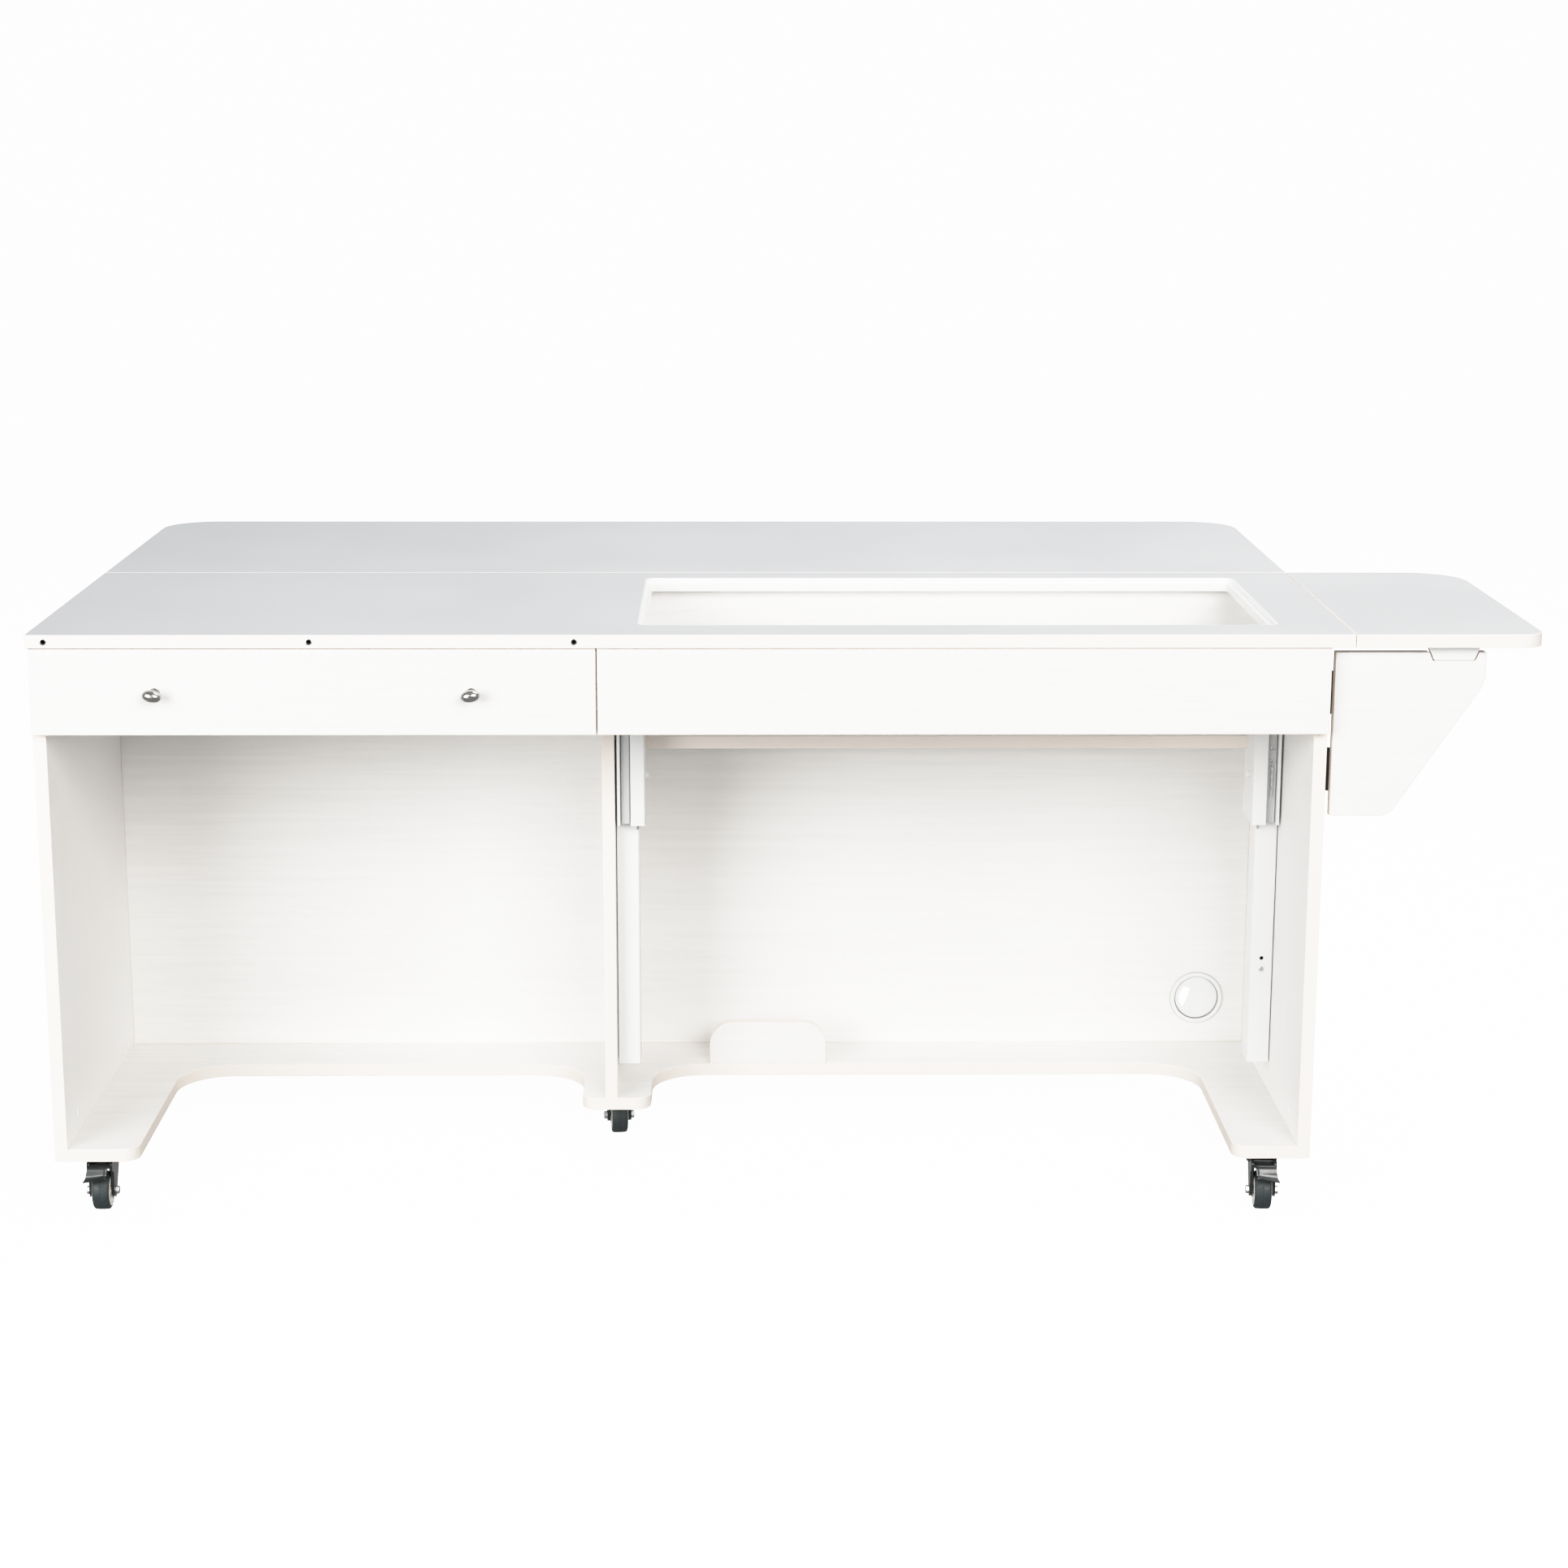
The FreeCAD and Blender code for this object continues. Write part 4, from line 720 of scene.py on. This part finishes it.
fitted(plate("grommet_cap_slotted", [cap_rim, leaf_slot[::-1]], CAP_THICK,
             ring_middle + (0, CAP_DEEP, 0), FACING, ring_white, CAP_ARRIS), "grommet_cap")

# --- Lift --------------------------------------------------------------------------------------
# White powder-coated steel: an upright channel fixed on each side of the right bay, with a
# carriage folded round it. Between the carriages hang a bar and the platform for the machine.

white_steel = mottled("white_powder_coat", 420, 2, ((0.86, 0.86, 0.85), (0.9, 0.9, 0.89)),
                      (0.3, 0.7, 0.34, 0.46), roughness=0.4, coat_weight=0.15, coat_roughness=0.2)
white_steel.relief(white_steel.cloud, 0.00006)
guide_grey = mottled("grey_guide", 1.0, 3, ((0.50, 0.505, 0.5), (0.60, 0.605, 0.6)),
                     stretch=(400, 400, 6), roughness=0.5)
guide_grey.relief(guide_grey.cloud, 0.00004)

RAIL_WIDTH, RAIL_SHEET, RAIL_ARRIS = 0.030, 0.0025, 0.0004
RAIL_HOLE, RAIL_HOLE_UP, RAIL_SCREW_UP = 0.0027, 0.280, 0.265
CARRIAGE_WIDTH, CARRIAGE_TALL, CARRIAGE_ARRIS = 0.0385, 0.128, 0.0006
LUG_UP, LUG_THICK, PEG_ASIDE, PEG_FORWARD = 0.583, 0.006, 0.0095, 0.014
RECESS_MIDDLE, WEB_FORWARD, GUIDE_HALF, GUIDE_DEEP = 0.01275, 0.005, 0.00575, 0.008
GUIDE_SHORT, GUIDE_ROUND, GUIDE_ARRIS = 0.001, 0.0012, 0.0008
SCREW_UPS, SCREW_RADIUS, SCREW_TALL = (0.573, 0.556), 0.0036, 0.002
BOLT_UP, BOLT_BACK, HANGER_UPS, HANGER_SUNK = 0.533, 0.009, (0.507, 0.551), 0.0005


class LiftSide:
    """Places on one side of the lift: s runs from the bay's wall inwards, y from the rail's
    front."""

    def __init__(self, side):
        low, high = corners_of(f"lift_rail_{side}")
        self.turn = 1 if side == "left" else -1
        self.wall = low[0] if side == "left" else high[0]
        self.front, self.low, self.high = low[1], low[2], high[2]
        self.middle, self.recess = self.across(RAIL_WIDTH / 2), self.across(RECESS_MIDDLE)
        self.web = self.front - WEB_FORWARD
        self.recess_face = self.web - GUIDE_DEEP

    def across(self, s):
        """The wall's place plus s, turned towards the inside of the bay."""
        return self.wall + self.turn * s

    def loop(self, corners, steps=4):
        """Closed outline through (s, y, radius) corners in millimetres, anticlockwise seen from
        above."""
        placed = [(self.across(s / 1000), self.front + y / 1000, radius / 1000)
                  for s, y, radius in corners][::self.turn]
        return outline(placed, steps)


def screw_heads(name, places, radius, height, finish):
    """Pan heads facing the front. The height over the radius is a dome less a cross-shaped recess
    that gets shallower outwards."""
    share = np.concatenate([[0, 1], np.linspace(1, 0, 22)])[:, None]
    angle = np.linspace(0, 2 * math.pi, 64, endpoint=False)[None, :]
    across, up = share * np.cos(angle), share * np.sin(angle)
    dome = height * (0.35 + 0.65 * np.sqrt(1 - 0.95 * share ** 2))
    arm = np.clip((0.17 - np.minimum(abs(across), abs(up))) / 0.06, 0, 1)
    recess = arm * np.clip((0.62 - share) / 0.5, 0, 1) * 0.9 * height
    rise = dome - recess
    rise[:2] = 0
    one = np.stack([across * radius, -rise, up * radius], -1)
    points = np.stack([one + np.asarray(place) for place in places])
    faces = grid_faces(*one.shape[:2], closed_columns=True)
    return welded(solid(name, points, [faces + i * one[..., 0].size for i in range(len(places))],
                        finish))


caps = []
peg_profile = [(0, 0.001), (0.0022, 0.001), (0.0022, -0.0052), (0.0016, -0.006), (0, -0.006)]
lift_sides = {"left": LiftSide("left"), "right": LiftSide("right")}
for side, lift_side in lift_sides.items():
    rail_loop = lift_side.loop([
        (0, 0, 2.5), (30, 0, 2.5), (30, 40, 0.6), (27.5, 40, 0.6), (27.5, 2.5, 0.8),
        (2.5, 2.5, 0.8), (2.5, 40, 0.6), (0, 40, 0.6)])
    rail = plate(f"lift_rail_{side}_channel", [rail_loop], lift_side.high - lift_side.low,
                 (0, 0, lift_side.low), LYING, white_steel, RAIL_ARRIS)
    if side == "right":
        hole = (lift_side.middle, lift_side.front, RAIL_HOLE_UP)
        drilled(rail, [hole], (0, 1, 0), RAIL_HOLE, RAIL_SHEET + 0.001)
    fitted(rail, f"lift_rail_{side}")

    carriage_top = corners_of(f"lift_carriage_{side}")[1][2]
    bottom = carriage_top - CARRIAGE_TALL
    folded = lift_side.loop([
        (2, -21, 1), (6, -21, 1), (6, -5, 0.8), (19.5, -5, 0.8), (19.5, -21, 1.5), (38.5, -21, 1.5),
        (38.5, 57, 1), (21.5, 57, 1), (21.5, 40.5, 1), (30.5, 40.5, 0.8), (30.5, -0.5, 0.8),
        (2, -0.5, 1)])
    fitted(plate(f"lift_carriage_{side}_folded", [folded], carriage_top - bottom, (0, 0, bottom),
                 LYING, white_steel, CARRIAGE_ARRIS), f"lift_carriage_{side}")
    lug = lift_side.loop([(9, 15, 2), (26.5, 15, 1), (26.5, 41, 1), (30.6, 41, 0), (30.6, 57, 0),
                          (9, 57, 2)])
    beside(plate(f"lift_carriage_{side}_lug", [lug], LUG_THICK, (0, 0, LUG_UP), LYING,
                 white_steel), f"lift_carriage_{side}")
    peg = (lift_side.across(CARRIAGE_WIDTH - PEG_ASIDE), lift_side.front - PEG_FORWARD, bottom)
    beside(turned(f"lift_carriage_{side}_peg", peg_profile, [peg], (0, 0, 1), zinc, 24),
           f"lift_carriage_{side}")

    guide = rectangle((lift_side.recess - GUIDE_HALF, lift_side.recess_face),
                      (lift_side.recess + GUIDE_HALF, lift_side.web), GUIDE_ROUND)
    fitted(plate(f"lift_guide_{side}", [guide], carriage_top - bottom - 2 * GUIDE_SHORT,
                 (0, 0, bottom + GUIDE_SHORT), LYING, guide_grey, GUIDE_ARRIS), "lift_guide_strips")
    caps.append(np.array((lift_side.across(CARRIAGE_WIDTH), lift_side.front + BOLT_BACK, BOLT_UP)))

right = lift_sides["right"]
fitted(screw_heads("rail_screw_head", [(right.middle, right.front, RAIL_SCREW_UP)], SCREW_RADIUS,
                   SCREW_TALL, zinc), "rail_screw")
screw_places = [(right.recess, right.recess_face, up) for up in SCREW_UPS]
fitted(screw_heads("carriage_screw_heads", screw_places, SCREW_RADIUS, SCREW_TALL, zinc),
       "lift_fasteners")
cap_profile = [(0, 0), (0.0045, 0), (0.0045, 0.0032), (0.0039, 0.0044), (0.0027, 0.005), (0, 0.005)]
for side, cap, way in zip(lift_sides, caps, ((1, 0, 0), (-1, 0, 0))):
    beside(turned(f"lift_bolt_cap_{side}", cap_profile, [cap], way, white_steel), "lift_fasteners")
hanger_long = HANGER_UPS[1] - HANGER_UPS[0]
hanger_profile = [(0, 0), (0.0017, 0), (0.0021, 0.0005), (0.0021, hanger_long - 0.0005),
                  (0.0017, hanger_long), (0, hanger_long)]
hanger = (right.recess, right.recess_face - HANGER_SUNK, HANGER_UPS[0])
beside(turned("lift_guide_pin", hanger_profile, [hanger], (0, 0, 1), zinc, 24), "lift_guide_strips")

box_board("lift_platform", LYING, grain_along)
box_board("lift_cross_bar", LYING, grain_along)
softened("lift_angle_brackets", white_steel, 0.0006)
softened("lift_gas_rods", zinc)

black_gloss = mottled("black_gloss", 70, 3, ((0.008, 0.010, 0.010), (0.016, 0.019, 0.019)),
                      (0.3, 0.7, 0.26, 0.36), roughness=0.3, coat_weight=0.6, coat_roughness=0.1)
black_gloss.relief(black_gloss.noise(black_gloss.place(), 800, 2), 0.00002)
softened("lift_gas_cylinders", black_gloss)

# --- Bracket board and hinges ------------------------------------------------------------------
# The swinging board that holds the side leaf up, notched over a white catch under the leaf, and
# the steel hinges of both boards and both leaves.

gate_low, gate_high = corners_of("gate_board")
gate_corners = np.array([
    (0, 0, 0), (75, 0, 25), (189, 171, 40), (189, 210, 1.5), (179.8, 210, 1.5), (175.3, 199.05, 4),
    (121.7, 199.05, 4), (117.2, 210, 1.5), (0, 210, 0)]) / 1000
gate_corners[:, :2] += gate_low[[0, 2]]
edged_board("gate_board", outline(gate_corners, 10), [], gate_high[1] - gate_low[1],
            (0, gate_high[1], 0), FACING, grain_along)

catch_low, catch_high = corners_of("leaf_catch")
catch_corners = np.array([(8.5, 0, 3), (58.5, 0, 3), (67, 19.5, 0), (0, 19.5, 0)]) / 1000
catch_corners[:, :2] += catch_low[[0, 2]]
fitted(plate("leaf_catch_block", [outline(catch_corners)], catch_high[1] - catch_low[1],
             (0, catch_high[1], 0), FACING, moulded_white, 0.0012), "leaf_catch")

for node in ("butt_hinges_fixed", "gate_hinge_moving", "back_leg_hinge_moving"):
    softened(node, dark_steel, 0.0002)
softened("leaf_hinges", zinc, 0.0003)

cam_low, cam_high = corners_of("cam_covers")
CAM_RADIUS, CAM_THICK = 0.0075, 0.0008
cam_profile = [(0, 0), (CAM_RADIUS, 0), (CAM_RADIUS - 0.0002, 0.0005), (0.0068, CAM_THICK),
               (0.0012, CAM_THICK), (0.0008, CAM_THICK - 0.0003), (0, CAM_THICK - 0.0003)]
cam_places = [(cam_low[1] + CAM_RADIUS, cam_low[2] + CAM_RADIUS),
              (cam_high[1] - CAM_RADIUS, cam_low[2] + CAM_RADIUS)]
for side, x, way in (("left", cam_low[0], 1), ("right", cam_high[0], -1)):
    fitted(turned(f"cam_covers_{side}", cam_profile, [(x, *place) for place in cam_places],
                  (way, 0, 0), moulded_white, 40), "cam_covers")

# --- Casters -----------------------------------------------------------------------------------
# Five swivel casters: a black fork, a cream hub in a grey rubber tyre and a zinc-plated axle bolt.
# The two at the front have a pressed brake pedal whose lip flares to a point on the outer side.

rubber = mottled("grey_rubber", 130, 4, ((0.016, 0.023, 0.025), (0.034, 0.044, 0.046)),
                 (0.35, 0.65, 0.46, 0.66), roughness=0.55)
rubber.relief(rubber.noise(rubber.place(), 1400, 2), 0.00005)
hub_nylon = mottled("cream_nylon", 40, 3, ((0.88, 0.84, 0.77), (0.93, 0.90, 0.84)),
                    roughness=0.35)

# From here to set_down, sizes are in millimetres.
WHEEL_BACK, WHEEL_UP, HALF_TYRE, TYRE_BORE = -18, 25, 11, 17
HALF_GAP, LEG, LEG_ARRIS, FORK_TOP, CROWN = 12.5, 4, 1.2, 69.5, 21
BRIDGE_UP, BRIDGE_THICK, BRIDGE_ARRIS = 60.5, 8, 1
NUT_RADIUS, NUT_LONG, NUT_ARRIS, NUT_STARTS = 5.5, 4.4, 0.5, {"left": -20.9, "right": 16.5}
PEDAL_PIN, PEDAL_SHEET, SPRING_END, COIL_PITCH = (-31.2, 62), 1.6, 12, 1.25
joint_of = {joint["name"]: joint for joint in frame["record"]["behaviour"]["joints"]}


def arc(centre, radius, start, stop, steps=5):
    """Points on a circular arc between two angles in degrees."""
    angle = np.radians(np.linspace(start, stop, steps + 1))
    return np.asarray(centre) + radius * np.stack([np.cos(angle), np.sin(angle)], 1)


# (radius, along the axle) round each part of a wheel
tyre_profile = np.concatenate([
    [(TYRE_BORE, -10.4), (20.7, -10.4), (20.8, -HALF_TYRE)], arc((20.8, -6.8), 4.2, -90, -20),
    [(25, -2.4), (25, -0.3), (24.7, 0), (25, 0.3), (25, 2.4)], arc((20.8, 6.8), 4.2, 20, 90),
    [(20.8, HALF_TYRE), (20.7, 10.4), (TYRE_BORE, 10.4)]])
hub_side = np.array([(3.05, 11.3), (5.6, 11.3), (6, 10.9), (6.4, 9.1), (14.2, 9.1), (14.8, 9.7),
                     (15.2, 11.4), (20.2, 11.4), (20.6, 11.0), (20.6, 10.5), (17, 10.5)])
hub_profile = np.concatenate([hub_side, hub_side[::-1] * (1, -1)])
nut_side = np.array([(3, 16.6), (5.6, 16.6), (5.6, 17.2), (4.4, 17.4), (4.4, 20.2), (3.9, 21.1),
                     (2.2, 21.5), (0, 21.5)])
nut_profile = np.concatenate([nut_side, nut_side[::-1] * (1, -1)])
crown_profile = np.concatenate([
    [(4.3, 60), (CROWN - 1, 60)], quarter((CROWN - 1.5, FORK_TOP - 1.5), 1.5, 0), [(15, FORK_TOP)],
    [(13.5, FORK_TOP + 1.2), (4.3, FORK_TOP + 1.2)]])


def cheek_loop(brake):
    """Outline (back, up) of a fork leg: from the crown it tapers down to the axle's eye, and the
    braked ones reach forward to the pedal's pin."""
    ears = [(-27, 55, 6), (-36, 57, 3), (-36, 67, 3)] if brake else [(-27, 52, 8)]
    loop = ears + [(-27, FORK_TOP, 2), (15, FORK_TOP, 2), (15, 62, 8), (-10, 25, 3), (-10, 17, 6.8),
                   (-26, 17, 6.8), (-26, 28, 8)]
    return outline(np.array(loop[::-1], float), 6)


def pedal_sheet(outer):
    """Pressed pedal: across it the sheet runs from its inner end to a point on the outer side, and
    down it follows a section that leaves the pin, bulges forward and flares into a lip."""
    section = np.array([(-30.6, 65.2), (-33, 65.8), (-36.4, 65.0), (-39.6, 62.2), (-41.6, 58.4),
                        (-42.6, 54.4), (-43.8, 51.0), (-46.0, 48.6), (-48.4, 47.4)])
    down = np.linspace(0, 1, len(section))[:, None]
    share = np.linspace(0, 1, 25)[None, :]
    inner_end = -11.5 + 3.5 * down ** 2
    outer_end = 15 + 1.5 * down + 4 * np.clip(down - 0.62, 0, 1) / 0.38
    across = inner_end + (outer_end - inner_end) * share
    lift = 4.2 * down ** 3 * (1 - share) ** 2 - 1.2 * down ** 4 * share ** 6
    round_over = 2.2 * (1 - np.sqrt(1 - np.clip(1 - share * 5, 0, 1) ** 2)) * (1 - 0.5 * down)
    back = section[:, :1] + round_over + 0 * share
    up = section[:, 1:] + lift
    return np.stack([outer * across, back, up], -1)


def walled(sheet, thick):
    """A sheet of points given a thickness: the same sheet again, moved along its own normals."""
    along, aside = np.gradient(sheet, axis=0), np.gradient(sheet, axis=1)
    normal = np.cross(along, aside)
    normal /= np.linalg.norm(normal, axis=2, keepdims=True)
    inner = sheet + normal * thick * np.sign(normal[..., 1].mean())
    return np.concatenate([sheet, inner[::-1]])


def set_down(piece, spot):
    """Moves a mesh made in millimetres in the caster's own frame to where its caster stands."""
    piece.data.transform(spot @ Matrix.Scale(0.001, 4))
    return piece


def caster(name, rear):
    """All pieces of one caster. Its own frame has the kingpin at the origin and the wheel towards
    -Y, and the roll joint's axis gives its turn."""
    pin, axle = joint_of[f"caster_{name}_swivel"]["pos_m"], joint_of[f"caster_{name}_roll"]["axis"]
    turn = math.atan2(axle[1], axle[0])
    spot = Matrix.Translation((pin[0], pin[1], 0)) @ Matrix.Rotation(turn, 4, "Z")
    brake = f"caster_{name}_brake" in joint_of
    wheel = (0, WHEEL_BACK, WHEEL_UP)
    kinds = {"fork": "fork", "axle": "fork" if rear else "axle",
             "hub": "wheel" if rear else "hub", "tyre": "wheel" if rear else "tyre"}
    nodes = {kind: f"caster_{name}_{node}" for kind, node in kinds.items()}
    for kind, profile, finish in (("tyre", tyre_profile, rubber), ("hub", hub_profile, hub_nylon),
                                  ("axle", nut_profile, zinc)):
        piece = turned(f"caster_{name}_{kind}_turned", profile, [wheel], (1, 0, 0), finish, 64)
        fitted(set_down(piece, spot), nodes[kind])
    hexagon = arc((WHEEL_BACK, WHEEL_UP), NUT_RADIUS, 0, 300)
    for end, start in NUT_STARTS.items():
        nut = plate(f"caster_{name}_nut_{end}", [hexagon], NUT_LONG, (start, 0, 0), SIDEWAYS, zinc,
                    NUT_ARRIS)
        beside(set_down(nut, spot), nodes["axle"])
    crown = turned(f"caster_{name}_crown", crown_profile, [(0, 0, 0)], (0, 0, 1), black_gloss, 64)
    fitted(set_down(crown, spot), nodes["fork"])
    for end, start in (("left", -HALF_GAP - LEG), ("right", HALF_GAP)):
        cheek = plate(f"caster_{name}_cheek_{end}", [cheek_loop(brake)[::-1]], LEG, (start, 0, 0),
                      SIDEWAYS, black_gloss, LEG_ARRIS)
        beside(set_down(cheek, spot), nodes["fork"])
    bridge = plate(f"caster_{name}_bridge", [rectangle((-HALF_GAP, -26), (HALF_GAP, 14))],
                   BRIDGE_THICK, (0, 0, BRIDGE_UP), LYING, black_gloss, BRIDGE_ARRIS)
    beside(set_down(bridge, spot), nodes["fork"])
    if brake:
        outer = -1 if name.endswith("left") else 1
        hood = walled(pedal_sheet(outer), PEDAL_SHEET)
        rows, columns = hood.shape[:2]
        edge = np.arange(rows)[None] * columns
        ends = [edge, edge[:, ::-1] + columns - 1]
        pedal = welded(solid(f"caster_{name}_pedal_hood", hood,
                             [grid_faces(rows, columns, closed_rows=True), *ends], black_gloss))
        fitted(set_down(pedal, spot), f"caster_{name}_pedal")
        coil = np.arange(-11.5, 11.6, 0.5)
        spring_radius = 3.1 + 0.4 * np.cos(coil * math.pi / COIL_PITCH) ** 2
        spring_profile = np.concatenate([
            [(1.6, -SPRING_END)], np.stack([spring_radius, coil], 1), [(1.6, SPRING_END)]])
        spring = turned(f"caster_{name}_pedal_spring", spring_profile, [(0, *PEDAL_PIN)], (1, 0, 0),
                        zinc, 32)
        beside(set_down(spring, spot), f"caster_{name}_pedal")


for name in ("front_left", "front_right", "middle", "rear_left", "rear_right"):
    caster(name, name.startswith("rear"))
softened("caster_plates", zinc, 0.0003)

glide_low, glide_high = corners_of("back_leg_glide")
glide_middle = (glide_low + glide_high) / 2
glide_tall, glide_radius = glide_high[2] - glide_low[2], (glide_high[0] - glide_low[0]) / 2
glide_profile = [(0, 0), (glide_radius - 0.002, 0), (glide_radius, 0.002), (glide_radius, 0.008),
                 (glide_radius - 0.001, 0.009), (glide_radius - 0.001, glide_tall - 0.004),
                 (glide_radius, glide_tall - 0.003), (glide_radius, glide_tall), (0, glide_tall)]
fitted(turned("back_leg_glide_foot", glide_profile, [(*glide_middle[:2], glide_low[2])], (0, 0, 1),
              black_gloss, 40), "back_leg_glide")
